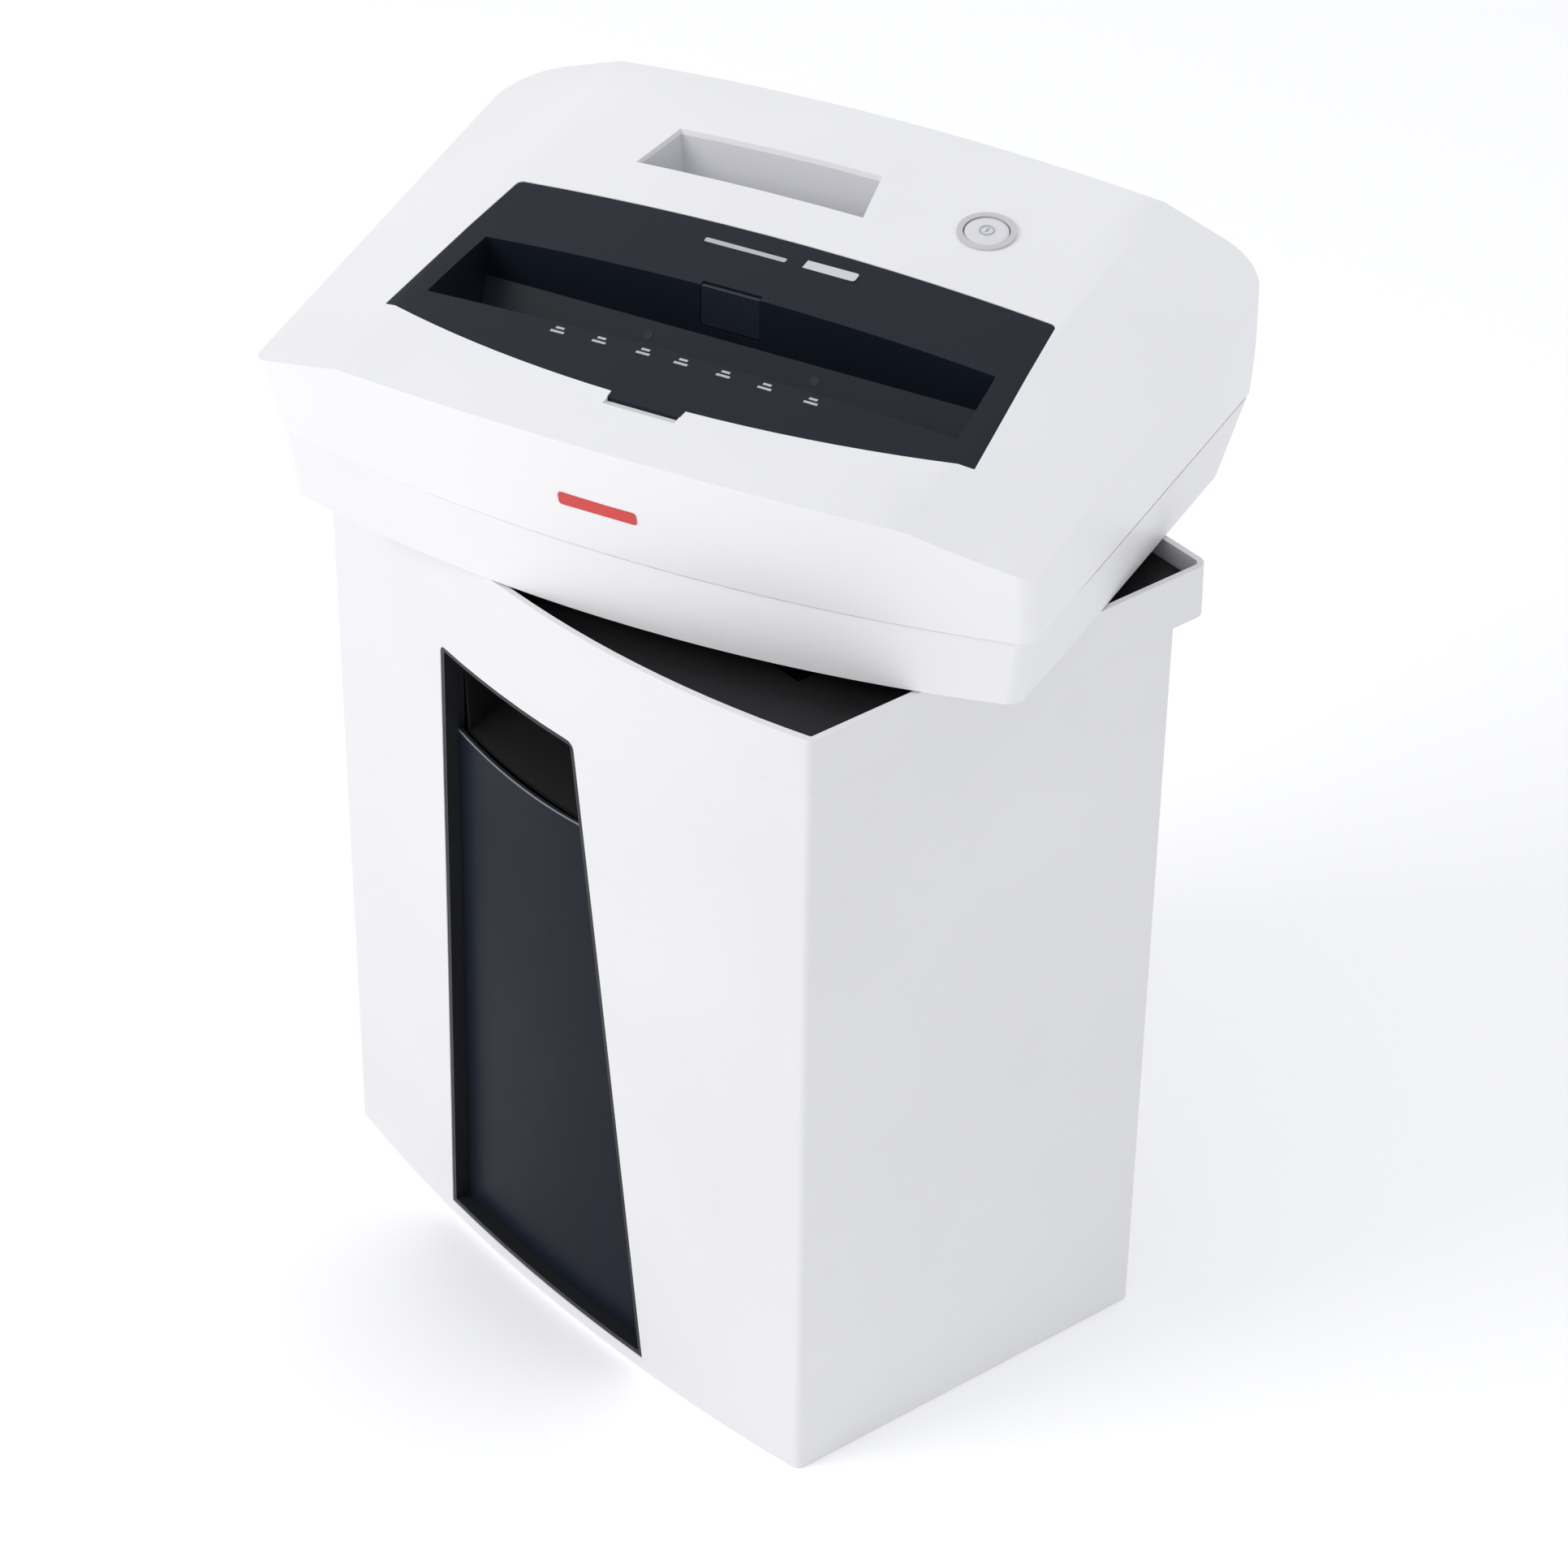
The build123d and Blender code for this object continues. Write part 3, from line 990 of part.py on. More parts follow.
def head_nodes():
    first = -DISC_PITCH * (DISC_COUNT - 1) / 2 - DISC_PITCH / 4
    second = first + DISC_PITCH / 2
    gear_end = INNER_GEAR_X + GEAR_WIDTH
    drive_end = OUTER_GEAR_X + GEAR_WIDTH
    return {
        "top_cover": make_top_cover(),
        "base_tray": make_base_tray(),
        "intake_panel": make_intake_panel(),
        "safety_flap": make_safety_flap(),
        "flap_pin": make_flap_pin(),
        "flap_spring": make_flap_spring(),
        "sensor_windows": make_sensor_windows(),
        "grip_cup": make_grip_cup(),
        "button_bezel": make_button_bezel(),
        "power_button": make_power_button(),
        "power_switch": make_power_switch(),
        "side_plate_left": make_side_plate(-1),
        "side_plate_right": make_side_plate(1),
        "tie_rods": make_tie_rods(),
        "tie_rod_screws": make_tie_rod_screws(),
        "roller_bearings": make_roller_bearings(),
        "front_roller": make_roller(FRONT_ROLLER_Y, first, gear_end + 1),
        "rear_roller": make_roller(REAR_ROLLER_Y, second, drive_end + 1),
        "front_stripper": make_stripper(FRONT_ROLLER_Y, -1, second),
        "rear_stripper": make_stripper(REAR_ROLLER_Y, 1, first),
        "front_roller_gear": make_gear(ROLLER_TEETH, ROLLER_MODULE, FRONT_TURN, INNER_GEAR_X, GEAR_WIDTH,
                                       FRONT_ROLLER_Y, ROLLER_Z, JOURNAL_RADIUS),
        "rear_roller_gear": make_gear(ROLLER_TEETH, ROLLER_MODULE, REAR_TURN, INNER_GEAR_X, GEAR_WIDTH,
                                      REAR_ROLLER_Y, ROLLER_Z, JOURNAL_RADIUS),
        "drive_gear": make_gear(DRIVE_TEETH, ROLLER_MODULE, DRIVE_TURN, OUTER_GEAR_X, GEAR_WIDTH,
                                REAR_ROLLER_Y, ROLLER_Z, JOURNAL_RADIUS),
        "idler_gear": make_idler_gear(),
        "idler_pin": make_idler_pin(),
        "motor_can": make_motor_can(),
        "motor_shaft": make_motor_shaft(),
        "motor_pinion": make_gear(PINION_TEETH, MOTOR_MODULE, PINION_TURN, INNER_GEAR_X, GEAR_WIDTH,
                                  MOTOR_Y, MOTOR_Z, MOTOR_SHAFT_RADIUS),
        "cooling_fan": make_cooling_fan(),
        "motor_screws": make_motor_screws(),
        "control_board": make_control_board(),
        "board_standoffs": make_board_standoffs(),
        "capacitor": make_capacitor(),
        "relay": make_relay(),
        "cord_gland": make_cord_gland(),
        "cover_screws": make_cover_screws(),
    }


def write_nodes():
    os.makedirs("parts", exist_ok=True)
    nodes = bin_nodes()
    place = Pos(0, SWIVEL_Y, 0) * Rot(0, 0, HEAD_TURN) * Pos(0, -HEAD_PIVOT_Y, 0)
    for name, shape in head_nodes().items():
        nodes[name] = place * shape
    for name, shape in nodes.items():
        export_step(shape, f"parts/{name}.step")


write_nodes()
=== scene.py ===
import math

import bpy
from mathutils import Matrix, Vector


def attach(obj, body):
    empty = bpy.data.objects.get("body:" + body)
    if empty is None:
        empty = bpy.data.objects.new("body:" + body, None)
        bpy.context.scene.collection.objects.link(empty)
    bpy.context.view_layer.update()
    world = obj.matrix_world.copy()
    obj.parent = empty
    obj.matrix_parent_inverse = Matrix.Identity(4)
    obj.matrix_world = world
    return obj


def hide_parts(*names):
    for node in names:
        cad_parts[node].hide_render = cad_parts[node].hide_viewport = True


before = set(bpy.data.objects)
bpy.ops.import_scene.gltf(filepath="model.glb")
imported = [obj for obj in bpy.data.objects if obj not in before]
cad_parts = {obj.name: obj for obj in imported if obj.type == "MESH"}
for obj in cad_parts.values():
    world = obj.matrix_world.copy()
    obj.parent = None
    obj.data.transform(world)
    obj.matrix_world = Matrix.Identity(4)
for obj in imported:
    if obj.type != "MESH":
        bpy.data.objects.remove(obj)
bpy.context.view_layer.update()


# ---- Camera --------------------------------------------------------------------------------------
# A long lens from the front right, well above the machine, turned by half a degree about its own
# line of sight.
scene = bpy.context.scene
camera_azimuth = math.radians(50.917)
camera_elevation = math.radians(34.736)
camera_roll = math.radians(0.541)
camera_distance = 2.7422
camera_target = Vector((-0.00263, 0.01870, 0.21995))
camera_lens_in_frame_widths = 3.96713

camera_data = bpy.data.cameras.new("camera")
camera_data.sensor_width = 36.0
camera_data.lens = camera_data.sensor_width * camera_lens_in_frame_widths
camera_data.clip_end = 50.0
camera = bpy.data.objects.new("camera", camera_data)
scene.collection.objects.link(camera)
backwards = Vector((math.sin(camera_azimuth) * math.cos(camera_elevation),
                    -math.cos(camera_azimuth) * math.cos(camera_elevation),
                    math.sin(camera_elevation)))
level_right = Vector((math.cos(camera_azimuth), math.sin(camera_azimuth), 0.0))
level_up = backwards.cross(level_right)
right = level_right * math.cos(camera_roll) + level_up * math.sin(camera_roll)
up = level_up * math.cos(camera_roll) - level_right * math.sin(camera_roll)
camera.matrix_world = Matrix.Translation(camera_target + backwards * camera_distance) @ Matrix(
    ((right.x, up.x, backwards.x, 0), (right.y, up.y, backwards.y, 0), (right.z, up.z, backwards.z, 0),
     (0, 0, 0, 1)))
scene.camera = camera


# ---- Floor and light -----------------------------------------------------------------------------
# A pale studio floor, a bright even surround, a large soft light from the front left and weak ones
# from above and from the right, so that the right side falls into a light cool shade.
bpy.ops.object.select_all(action="DESELECT")
floor_size = 12.0
floor_drop = 0.0004           # under the feet, so that no face lies in the floor
bpy.ops.mesh.primitive_plane_add(size=floor_size, location=(0, 0, -floor_drop))
floor = bpy.context.object
floor.name = "floor"
floor_material = bpy.data.materials.new("pale_floor")
floor_material.use_nodes = True
floor_shader = floor_material.node_tree.nodes["Principled BSDF"]
floor_shader.inputs["Base Color"].default_value = (0.97, 0.97, 0.97, 1)
floor_shader.inputs["Roughness"].default_value = 0.7
floor_shader.inputs["Specular IOR Level"].default_value = 0.2
floor_shader.inputs["Emission Color"].default_value = (1.0, 1.0, 1.0, 1)
floor_shader.inputs["Emission Strength"].default_value = 0.14
floor.data.materials.append(floor_material)

world = bpy.data.worlds.new("studio")
scene.world = world
world.use_nodes = True
surround = world.node_tree.nodes["Background"]
surround.inputs["Color"].default_value = (0.955, 0.965, 1.0, 1)
surround.inputs["Strength"].default_value = 0.72


def soft_light(name, place, aim, size, power, colour=(1, 1, 1)):
    """A square soft box that points at a place."""
    light = bpy.data.lights.new(name, "AREA")
    light.shape = "SQUARE"
    light.size = size
    light.energy = power
    light.color = colour
    holder = bpy.data.objects.new(name, light)
    scene.collection.objects.link(holder)
    holder.location = place
    holder.rotation_euler = (Vector(aim) - Vector(place)).to_track_quat("-Z", "Y").to_euler()


bin_middle = (0, 0, 0.25)
rim_middle = (0, 0, 0.3)
warm_white = (1.0, 0.99, 0.975)
soft_light("key_light", place=(-0.9, -2.6, 2.0), aim=bin_middle, size=1.6, power=38, colour=warm_white)
soft_light("top_light", place=(0.4, 0.3, 2.8), aim=rim_middle, size=1.8, power=8)
soft_light("right_light", place=(2.6, -0.2, 0.5), aim=rim_middle, size=1.4, power=4)
scene.view_settings.view_transform = "Standard"


# ---- Moulded white plastic: bin shell and collar -------------------------------------------------
# The bin is one deep injection moulding in white plastic, with a rim band round its mouth. The
# surface has a fine even grain, and its edges are slightly rounded by the tool and painted paler
# as a highlight.
def surface_nodes(name, colour, roughness, specular=0.5):
    """A new material with its main shader, its node tree and a position input."""
    material = bpy.data.materials.new(name)
    material.use_nodes = True
    tree = material.node_tree
    shader = tree.nodes["Principled BSDF"]
    shader.inputs["Base Color"].default_value = (*colour, 1)
    shader.inputs["Roughness"].default_value = roughness
    shader.inputs["Specular IOR Level"].default_value = specular
    place = tree.nodes.new("ShaderNodeTexCoord")
    return material, tree, shader, place


def noise(tree, place, scale, detail=2.0, roughness=0.5):
    """Noise over the object's own coordinates; a larger scale gives a finer pattern."""
    node = tree.nodes.new("ShaderNodeTexNoise")
    node.inputs["Scale"].default_value = scale
    node.inputs["Detail"].default_value = detail
    node.inputs["Roughness"].default_value = roughness
    tree.links.new(place.outputs["Object"], node.inputs["Vector"])
    return node


def spread(tree, source, low, high):
    """Takes the middle of a noise value's spread, 0.3 to 0.7, to a range."""
    node = tree.nodes.new("ShaderNodeMapRange")
    node.inputs["From Min"].default_value = 0.3
    node.inputs["From Max"].default_value = 0.7
    node.inputs["To Min"].default_value = low
    node.inputs["To Max"].default_value = high
    tree.links.new(source, node.inputs["Value"])
    return node.outputs["Result"]


def plastic(name, colour, roughness, grain=0.00004, grain_scale=2600, shade=0.04, worn=None,
            specular=0.4):
    """Moulded plastic: a fine grain, an uneven sheen, a slight drift in colour and paler worn edges."""
    material, tree, shader, place = surface_nodes(name, colour, roughness, specular)
    fine = noise(tree, place, grain_scale)
    broad = noise(tree, place, 9.0, 3.0)
    bump = tree.nodes.new("ShaderNodeBump")
    bump.inputs["Strength"].default_value = 0.35
    bump.inputs["Distance"].default_value = grain
    tree.links.new(fine.outputs["Fac"], bump.inputs["Height"])
    tree.links.new(bump.outputs["Normal"], shader.inputs["Normal"])
    tree.links.new(spread(tree, broad.outputs["Fac"], roughness - 0.05, roughness + 0.06),
                   shader.inputs["Roughness"])
    drift = tree.nodes.new("ShaderNodeMix")
    drift.data_type = "RGBA"
    drift.inputs["A"].default_value = (*[c * (1 - shade) for c in colour], 1)
    drift.inputs["B"].default_value = (*colour, 1)
    tree.links.new(spread(tree, broad.outputs["Fac"], 0.0, 1.0), drift.inputs["Factor"])
    colour_out = drift.outputs["Result"]
    if worn:
        edges = tree.nodes.new("ShaderNodeNewGeometry")
        ramp = tree.nodes.new("ShaderNodeMapRange")
        ramp.inputs["From Min"].default_value = 0.55
        ramp.inputs["From Max"].default_value = 0.75
        tree.links.new(edges.outputs["Pointiness"], ramp.inputs["Value"])
        wear = tree.nodes.new("ShaderNodeMix")
        wear.data_type = "RGBA"
        wear.inputs["B"].default_value = (*worn, 1)
        tree.links.new(ramp.outputs["Result"], wear.inputs["Factor"])
        tree.links.new(colour_out, wear.inputs["A"])
        colour_out = wear.outputs["Result"]
    tree.links.new(colour_out, shader.inputs["Base Color"])
    return material


def give(node, material):
    """A CAD node keeps its shape and gets a better material."""
    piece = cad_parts[node]
    for place in piece.material_slots:
        place.material = material
    if not piece.material_slots:
        piece.data.materials.append(material)


def softened(node, body, width, face_material, edge_highlight_material, sharp=math.radians(28)):
    """A copy of a CAD node with its sharp edges rounded and painted paler as a highlight, which takes its
    place.
    """
    same_point = 0.000002
    flat = math.radians(0.4)
    smooth = math.radians(32)
    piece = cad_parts[node]
    soft = bpy.data.objects.new(node + "_soft", piece.data.copy())
    scene.collection.objects.link(soft)
    soft.data.materials.clear()
    soft.data.materials.append(face_material)
    soft.data.materials.append(edge_highlight_material)
    bpy.ops.object.select_all(action="DESELECT")
    soft.select_set(True)
    bpy.context.view_layer.objects.active = soft
    bpy.ops.object.mode_set(mode="EDIT")
    bpy.ops.mesh.select_all(action="SELECT")
    bpy.ops.mesh.remove_doubles(threshold=same_point)
    bpy.ops.mesh.dissolve_limited(angle_limit=flat)
    bpy.ops.object.mode_set(mode="OBJECT")
    round_over = soft.modifiers.new("round_over", "BEVEL")
    round_over.width = width
    round_over.segments = 3
    round_over.limit_method = "ANGLE"
    round_over.angle_limit = sharp
    round_over.use_clamp_overlap = True
    # The rounded faces take the second, paler material: a painted highlight along the edges.
    round_over.material = 1
    bpy.ops.object.modifier_apply(modifier="round_over")
    bpy.ops.object.shade_smooth_by_angle(angle=smooth)
    even_shading = soft.modifiers.new("even_shading", "WEIGHTED_NORMAL")
    even_shading.keep_sharp = True
    even_shading.weight = 80
    bpy.ops.object.modifier_apply(modifier="even_shading")
    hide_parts(node)
    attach(soft, body)
    return soft


def paint(piece, material):
    """A modelled piece takes one material all over."""
    piece.data.materials.clear()
    piece.data.materials.append(material)


white_bin = plastic("white_bin_plastic", (0.765, 0.765, 0.78), 0.42)
# Paler material for the rounded edges: a painted highlight.
white_bin_edge_highlight = plastic("white_bin_painted_highlight_edge", (0.80, 0.80, 0.81), 0.34)
softened("bin_shell", "bin", 0.0010, white_bin, white_bin_edge_highlight)
softened("bin_collar", "bin", 0.0009, white_bin, white_bin_edge_highlight)


# ---- Window: surround, pane and hand pocket ------------------------------------------------------
# A black moulded frame lines the window, a smoked pane is held in its rebate, and a black pocket
# behind the open top takes the hand that lifts the bin. The pocket's black is painted shade, the
# shade inside the bin.
# Black plastic of the support frame; on the hand pocket the same black is painted shade for the inside of
# the bin.
black_lining_and_painted_shade = plastic("black_lining_and_painted_shade_plastic", (0.010, 0.010, 0.011), 0.5,
                       worn=(0.04, 0.04, 0.043), specular=0.2)
surround_black = plastic("surround_black_plastic", (0.016, 0.017, 0.019), 0.45, specular=0.3)
# Paler materials for the rounded edges of the surround and the pane: painted highlights.
surround_edge_highlight = plastic("surround_painted_highlight_edge", (0.035, 0.037, 0.042), 0.4, specular=0.3)
smoked_pane = plastic("smoked_pane_plastic", (0.011, 0.014, 0.022), 0.34, grain=0.00001, specular=0.04)
pane_edge_highlight = plastic("pane_painted_highlight_edge", (0.20, 0.21, 0.235), 0.3, grain=0.00001)
softened("window_surround", "bin", 0.0004, surround_black, surround_edge_highlight)
# The pocket's black stands in for the shade inside the bin: painted shade.
give("hand_pocket", black_lining_and_painted_shade)
softened("window_pane", "bin", 0.0006, smoked_pane, pane_edge_highlight)


# ---- Support frame and glide pads ----------------------------------------------------------------
# The black plate in the bin's mouth, and the four slippery pads that the head turns on.
give("support_frame", black_lining_and_painted_shade)
give("glide_pads", plastic("pad_plastic", (0.5, 0.5, 0.51), 0.35))


# ---- Head housing: top cover and base tray -------------------------------------------------------
# Two white shells that meet at a shallow parting line, screwed together from below.
white_cover = plastic("white_cover_plastic", (0.845, 0.845, 0.855), 0.38)
# Paler material for the shells' rounded edges: a painted highlight.
white_cover_edge_highlight = plastic("white_cover_painted_highlight_edge", (0.87, 0.87, 0.88), 0.32)
white_tray = plastic("white_tray_plastic", (0.82, 0.82, 0.83), 0.4)
softened("top_cover", "head", 0.0012, white_cover, white_cover_edge_highlight)
softened("base_tray", "head", 0.0010, white_tray, white_cover_edge_highlight)


# ---- Intake panel, safety flap and sensor windows ------------------------------------------------
# The black panel with the paper funnel, with a fine grain and a painted highlight on its edges.
# The flap is the same plastic, a shade lighter.
panel_black = plastic("panel_black_plastic", (0.007, 0.010, 0.018), 0.42, grain=0.00006, specular=0.22)
# Paler material on the rounded edges of the panel and the flap: a painted highlight.
panel_edge_highlight = plastic("panel_painted_highlight_edge", (0.060, 0.067, 0.080), 0.36, specular=0.35)
flap_black = plastic("flap_black_plastic", (0.014, 0.018, 0.028), 0.38, grain=0.00005, specular=0.3)
softened("intake_panel", "head", 0.0006, panel_black, panel_edge_highlight)
softened("safety_flap", "safety_flap", 0.0004, flap_black, panel_edge_highlight)
give("sensor_windows", plastic("sensor_lens_plastic", (0.022, 0.025, 0.032), 0.15))


# ---- Marks printed on the head -------------------------------------------------------------------
# Generic printed marks, thin plates that stand 0.15 mm proud of the panel and 0.3 mm of the cover: a
# row of plain pictogram blanks in front of the paper mouth, a plain line and a plain lozenge behind it,
# and a plain red bar on the cover's front.
head_turn = math.radians(23.4)
head_pivot_y = 0.0067
swivel_y = 0.0078
top_z = 0.4938                # top surface over the head's own origin
top_tilt = math.radians(7.0)
dome_drop = 0.0064
facet_half_width = 0.130


def on_head(x, y, z):
    """A place in the head's own axes, taken to the common frame."""
    y -= head_pivot_y
    return Vector((x * math.cos(head_turn) - y * math.sin(head_turn),
                   x * math.sin(head_turn) + y * math.cos(head_turn) + swivel_y, z))


def top_surface(x, y):
    """Height of the head's domed top over a place in its own axes."""
    return top_z + math.tan(top_tilt) * y - dome_drop * (x / facet_half_width) ** 2


def finish_place(piece):
    """Puts a piece's place and turn into its mesh."""
    bpy.ops.object.select_all(action="DESELECT")
    piece.select_set(True)
    bpy.context.view_layer.objects.active = piece
    bpy.ops.object.transform_apply(location=True, rotation=True, scale=True)


def flat_mark(name, centre, size, tilt, spin=0.0, corner=0.0):
    """A thin printed plate that lies on a surface; tilt is its turn about the head's X axis."""
    bpy.ops.object.select_all(action="DESELECT")
    bpy.ops.mesh.primitive_cube_add(size=1.0)
    mark = bpy.context.object
    mark.name = name
    mark.scale = size
    bpy.ops.object.transform_apply(location=False, rotation=False, scale=True)
    if corner:
        round_over = mark.modifiers.new("corners", "BEVEL")
        round_over.width = corner
        round_over.segments = 3
        round_over.limit_method = "WEIGHT"
        upright = mark.data.attributes.new("bevel_weight_edge", "FLOAT", "EDGE")
        for edge in mark.data.edges:
            first, second = (mark.data.vertices[index].co for index in edge.vertices)
            if abs(first.z - second.z) > 0.5 * size[2]:
                upright.data[edge.index].value = 1.0
        bpy.ops.object.modifier_apply(modifier="corners")
    mark.matrix_world = (Matrix.Translation(on_head(*centre)) @ Matrix.Rotation(head_turn, 4, "Z")
                         @ Matrix.Rotation(tilt, 4, "X") @ Matrix.Rotation(spin, 4, "Z"))
    finish_place(mark)
    return mark


def join_pieces(pieces, name):
    """Several pieces made into one, under one name."""
    bpy.ops.object.select_all(action="DESELECT")
    for piece in pieces:
        piece.select_set(True)
    bpy.context.view_layer.objects.active = pieces[0]
    bpy.ops.object.join()
    pieces[0].name = name
    return pieces[0]


print_thickness = 0.0003
print_lift = -0.0002          # under the top surface, where the panel's face lies
pale_ink = plastic("pale_ink", (0.48, 0.49, 0.52), 0.5, grain=0.00001)
blanks = []
blanks_y = -0.0745
bar_height = 0.0013
long_bar, short_bar = 0.0062, 0.0038
for blank_x in (-0.056, -0.0365, -0.016, 0.0015, 0.021, 0.040, 0.061):
    for shift, width in ((-bar_height, long_bar), (bar_height, short_bar)):
        centre = (blank_x, blanks_y + shift, top_surface(blank_x, blanks_y + shift) + print_lift)
        blanks.append(flat_mark("blank", centre, (width, bar_height, print_thickness), top_tilt))
pictogram_blanks = join_pieces(blanks, "pictogram_blanks")
paint(pictogram_blanks, pale_ink)
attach(pictogram_blanks, "head")

line_x, line_y = -0.011, 0.0035
plain_line = flat_mark("plain_line", (line_x, line_y, top_surface(line_x, line_y) + print_lift),
                       (0.038, 0.0026, print_thickness), top_tilt, corner=0.0006)
paint(plain_line, pale_ink)
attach(plain_line, "head")

white_ink = plastic("white_ink", (0.62, 0.63, 0.66), 0.5, grain=0.00001)
lozenge_x, lozenge_y = 0.027, 0.005
lozenge_z = top_surface(lozenge_x, lozenge_y) + print_lift
plain_lozenge = flat_mark("plain_lozenge", (lozenge_x, lozenge_y, lozenge_z),
                          (0.0265, 0.0054, print_thickness), top_tilt, corner=0.0012)
paint(plain_lozenge, white_ink)
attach(plain_lozenge, "head")

red_ink = plastic("red_ink", (0.62, 0.045, 0.04), 0.4, grain=0.00001)
parting_z = 0.4188            # the cover's lower edge
front_rise = 0.050            # from there to the level of the shoulder
front_low, front_high = -0.126, -0.1385   # the cover's front, in the middle, at those two levels
bar_z = 0.444
bar_y = front_low + (front_high - front_low) * (bar_z - parting_z) / front_rise
front_lean = math.atan2(front_high - front_low, front_rise)
red_bar = flat_mark("red_bar", (-0.006, bar_y, bar_z), (0.036, 0.0065, 0.0006),
                    math.radians(90) - front_lean, corner=0.0015)
paint(red_bar, red_ink)
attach(red_bar, "head")


# ---- Grip cup and power button -------------------------------------------------------------------
# A cup under the cover's opening, grey as painted shade in the recess, and a white push button in a
# grey ring, with a generic ring-and-bar sign printed on it.
# The cup's grey is painted shade for the recess, darker than the cover's white.
cup_painted_shade = plastic("grip_cup_painted_shade", (0.66, 0.66, 0.69), 0.5)
give("grip_cup", cup_painted_shade)
ring_grey = plastic("ring_plastic", (0.58, 0.58, 0.60), 0.35)
softened("button_bezel", "head", 0.0003, ring_grey, ring_grey)
button_white = plastic("button_plastic", (0.72, 0.72, 0.74), 0.3)
softened("power_button", "power_button", 0.0005, button_white, button_white)

button_x, button_y = 0.074, 0.057
cap_rise = 0.00122            # the button's face over the top surface
slope_x = -2 * dome_drop * button_x / facet_half_width ** 2
sign_z = top_surface(button_x, button_y) + cap_rise
bpy.ops.object.select_all(action="DESELECT")
bpy.ops.mesh.primitive_torus_add(major_radius=0.0030, minor_radius=0.00025,
                                 major_segments=40, minor_segments=8)
sign_ring = bpy.context.object
sign_ring.name = "button_sign_ring"
cap_tilt = Matrix.Rotation(top_tilt, 4, "X") @ Matrix.Rotation(-math.atan(slope_x), 4, "Y")
sign_ring.matrix_world = (Matrix.Translation(on_head(button_x, button_y, sign_z))
                          @ Matrix.Rotation(head_turn, 4, "Z") @ cap_tilt @ Matrix.Diagonal((1, 1, 0.6, 1)))
finish_place(sign_ring)
bpy.ops.object.select_all(action="DESELECT")
bpy.ops.mesh.primitive_cube_add(size=1.0)
sign_bar = bpy.context.object
sign_bar_size = (0.0005, 0.0026, 0.0003, 1)
sign_bar.matrix_world = (Matrix.Translation(on_head(button_x, button_y + 0.0003, sign_z))
                         @ Matrix.Rotation(head_turn, 4, "Z") @ cap_tilt @ Matrix.Diagonal(sign_bar_size))
finish_place(sign_bar)
button_sign = join_pieces([sign_ring, sign_bar], "button_sign")
paint(button_sign, plastic("sign_ink", (0.45, 0.46, 0.49), 0.45, grain=0.00001))
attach(button_sign, "power_button")


# ---- Steel of the cutting unit -------------------------------------------------------------------
# Zinc plated side plates, ground and oiled cutting rollers, turned pins, rods and screws. Rolled and
# turned steel carries fine lines along one way.
def steel(name, colour, roughness, line_scale, bump=0.00002, stain=(0.30, 0.28, 0.25)):
    """Metal with fine lines, an uneven polish and faint stains."""
    material, tree, shader, place = surface_nodes(name, colour, roughness)
    shader.inputs["Metallic"].default_value = 1.0
    stretch = tree.nodes.new("ShaderNodeMapping")
    stretch.inputs["Scale"].default_value = line_scale
    tree.links.new(place.outputs["Object"], stretch.inputs["Vector"])
    lines = tree.nodes.new("ShaderNodeTexNoise")
    lines.inputs["Scale"].default_value = 60.0
    lines.inputs["Detail"].default_value = 3.0
    tree.links.new(stretch.outputs["Vector"], lines.inputs["Vector"])
    relief = tree.nodes.new("ShaderNodeBump")
    relief.inputs["Strength"].default_value = 0.4
    relief.inputs["Distance"].default_value = bump
    tree.links.new(lines.outputs["Fac"], relief.inputs["Height"])
    tree.links.new(relief.outputs["Normal"], shader.inputs["Normal"])
    blotches = noise(tree, place, 55.0, 4.0)
    tree.links.new(spread(tree, blotches.outputs["Fac"], roughness - 0.06, roughness + 0.14),
                   shader.inputs["Roughness"])
    tint = tree.nodes.new("ShaderNodeMix")
    tint.data_type = "RGBA"
    tint.inputs["A"].default_value = (*colour, 1)
    tint.inputs["B"].default_value = (*stain, 1)
    tree.links.new(spread(tree, blotches.outputs["Fac"], 0.0, 0.35), tint.inputs["Factor"])
    tree.links.new(tint.outputs["Result"], shader.inputs["Base Color"])
    return material


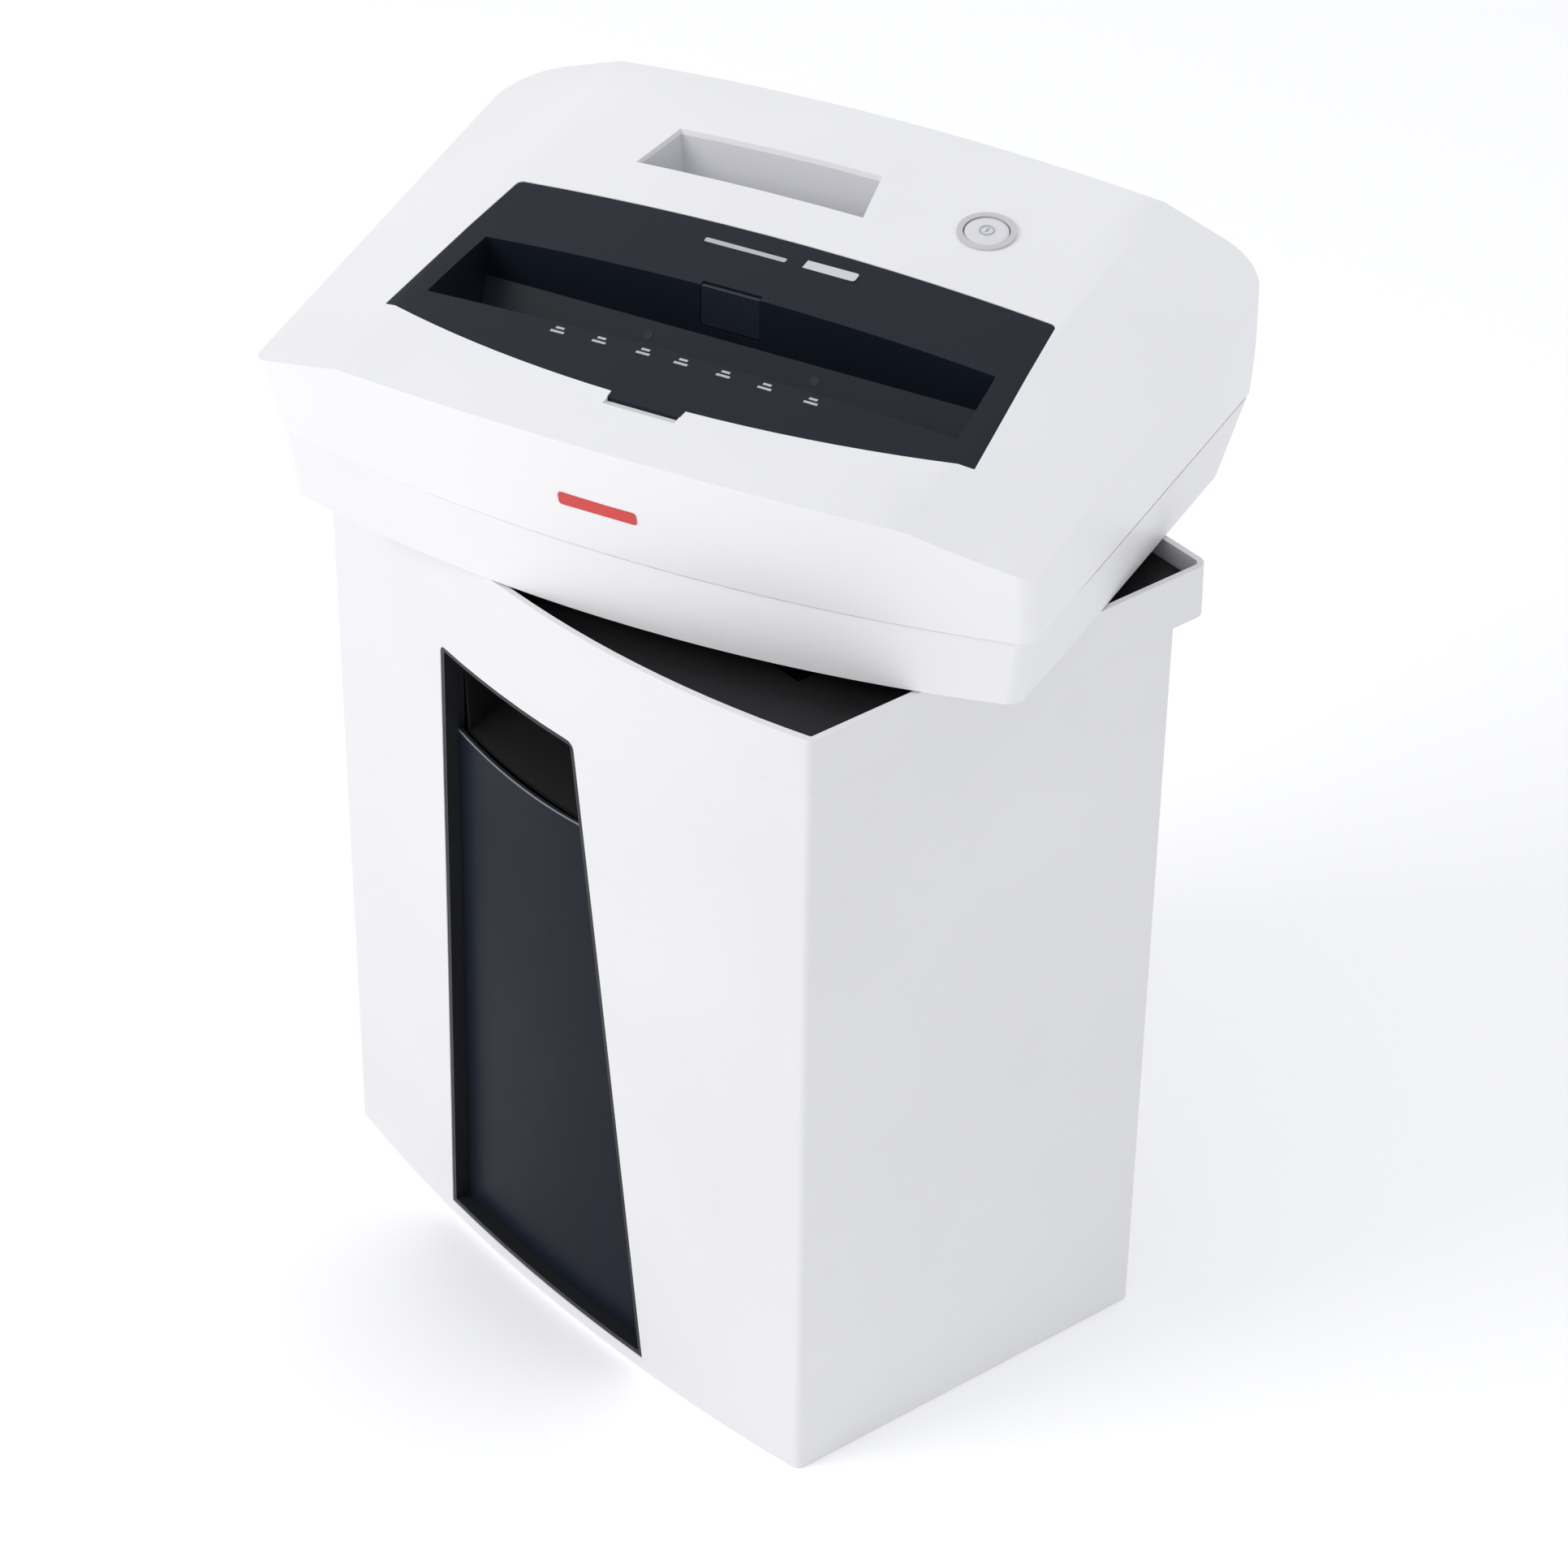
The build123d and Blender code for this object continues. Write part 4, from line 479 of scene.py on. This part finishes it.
plate_steel = steel("plate_steel", (0.60, 0.60, 0.62), 0.38, (1, 1, 14))
cutter_steel = steel("cutter_steel", (0.36, 0.36, 0.38), 0.28, (30, 2, 2))
turned_steel = steel("turned_steel", (0.66, 0.66, 0.68), 0.25, (24, 2, 2))
for node in ("side_plate_left", "side_plate_right"):
    give(node, plate_steel)
for node in ("front_roller", "rear_roller"):
    give(node, cutter_steel)
for node in ("tie_rods", "tie_rod_screws", "idler_pin", "motor_shaft", "motor_screws", "cover_screws",
             "flap_pin", "flap_spring", "front_roller_gear", "rear_roller_gear"):
    give(node, turned_steel)
give("roller_bearings", steel("sintered_bronze", (0.50, 0.33, 0.17), 0.45, (6, 6, 6),
                              stain=(0.22, 0.14, 0.07)))
give("motor_pinion", steel("cut_brass", (0.72, 0.55, 0.26), 0.3, (20, 2, 2), stain=(0.40, 0.28, 0.12)))
give("motor_can", steel("motor_can_steel", (0.42, 0.43, 0.45), 0.42, (10, 2, 2)))


# ---- Plastic pieces inside the head --------------------------------------------------------------
# Strippers and fan in black, the two large gears in cream nylon, the gland in black rubber.
inner_black = plastic("inner_black_plastic", (0.02, 0.02, 0.022), 0.5, worn=(0.08, 0.08, 0.085))
nylon = plastic("gear_nylon", (0.66, 0.64, 0.56), 0.42, shade=0.10, worn=(0.74, 0.72, 0.65))
for node in ("front_stripper", "rear_stripper", "cooling_fan"):
    give(node, inner_black)
for node in ("drive_gear", "idler_gear"):
    give(node, nylon)
give("cord_gland", plastic("gland_rubber", (0.012, 0.012, 0.012), 0.75, grain=0.00008, grain_scale=1500))


# ---- Electrics -----------------------------------------------------------------------------------
# The control board in green solder mask on grey posts, and its dark components.
give("control_board", plastic("board_green", (0.03, 0.16, 0.07), 0.3, grain_scale=900, shade=0.35))
give("board_standoffs", plastic("post_grey_plastic", (0.45, 0.45, 0.47), 0.5))
component_dark = plastic("component_plastic", (0.03, 0.03, 0.036), 0.4, worn=(0.10, 0.10, 0.11))
for node in ("capacitor", "relay", "power_switch"):
    give(node, component_dark)
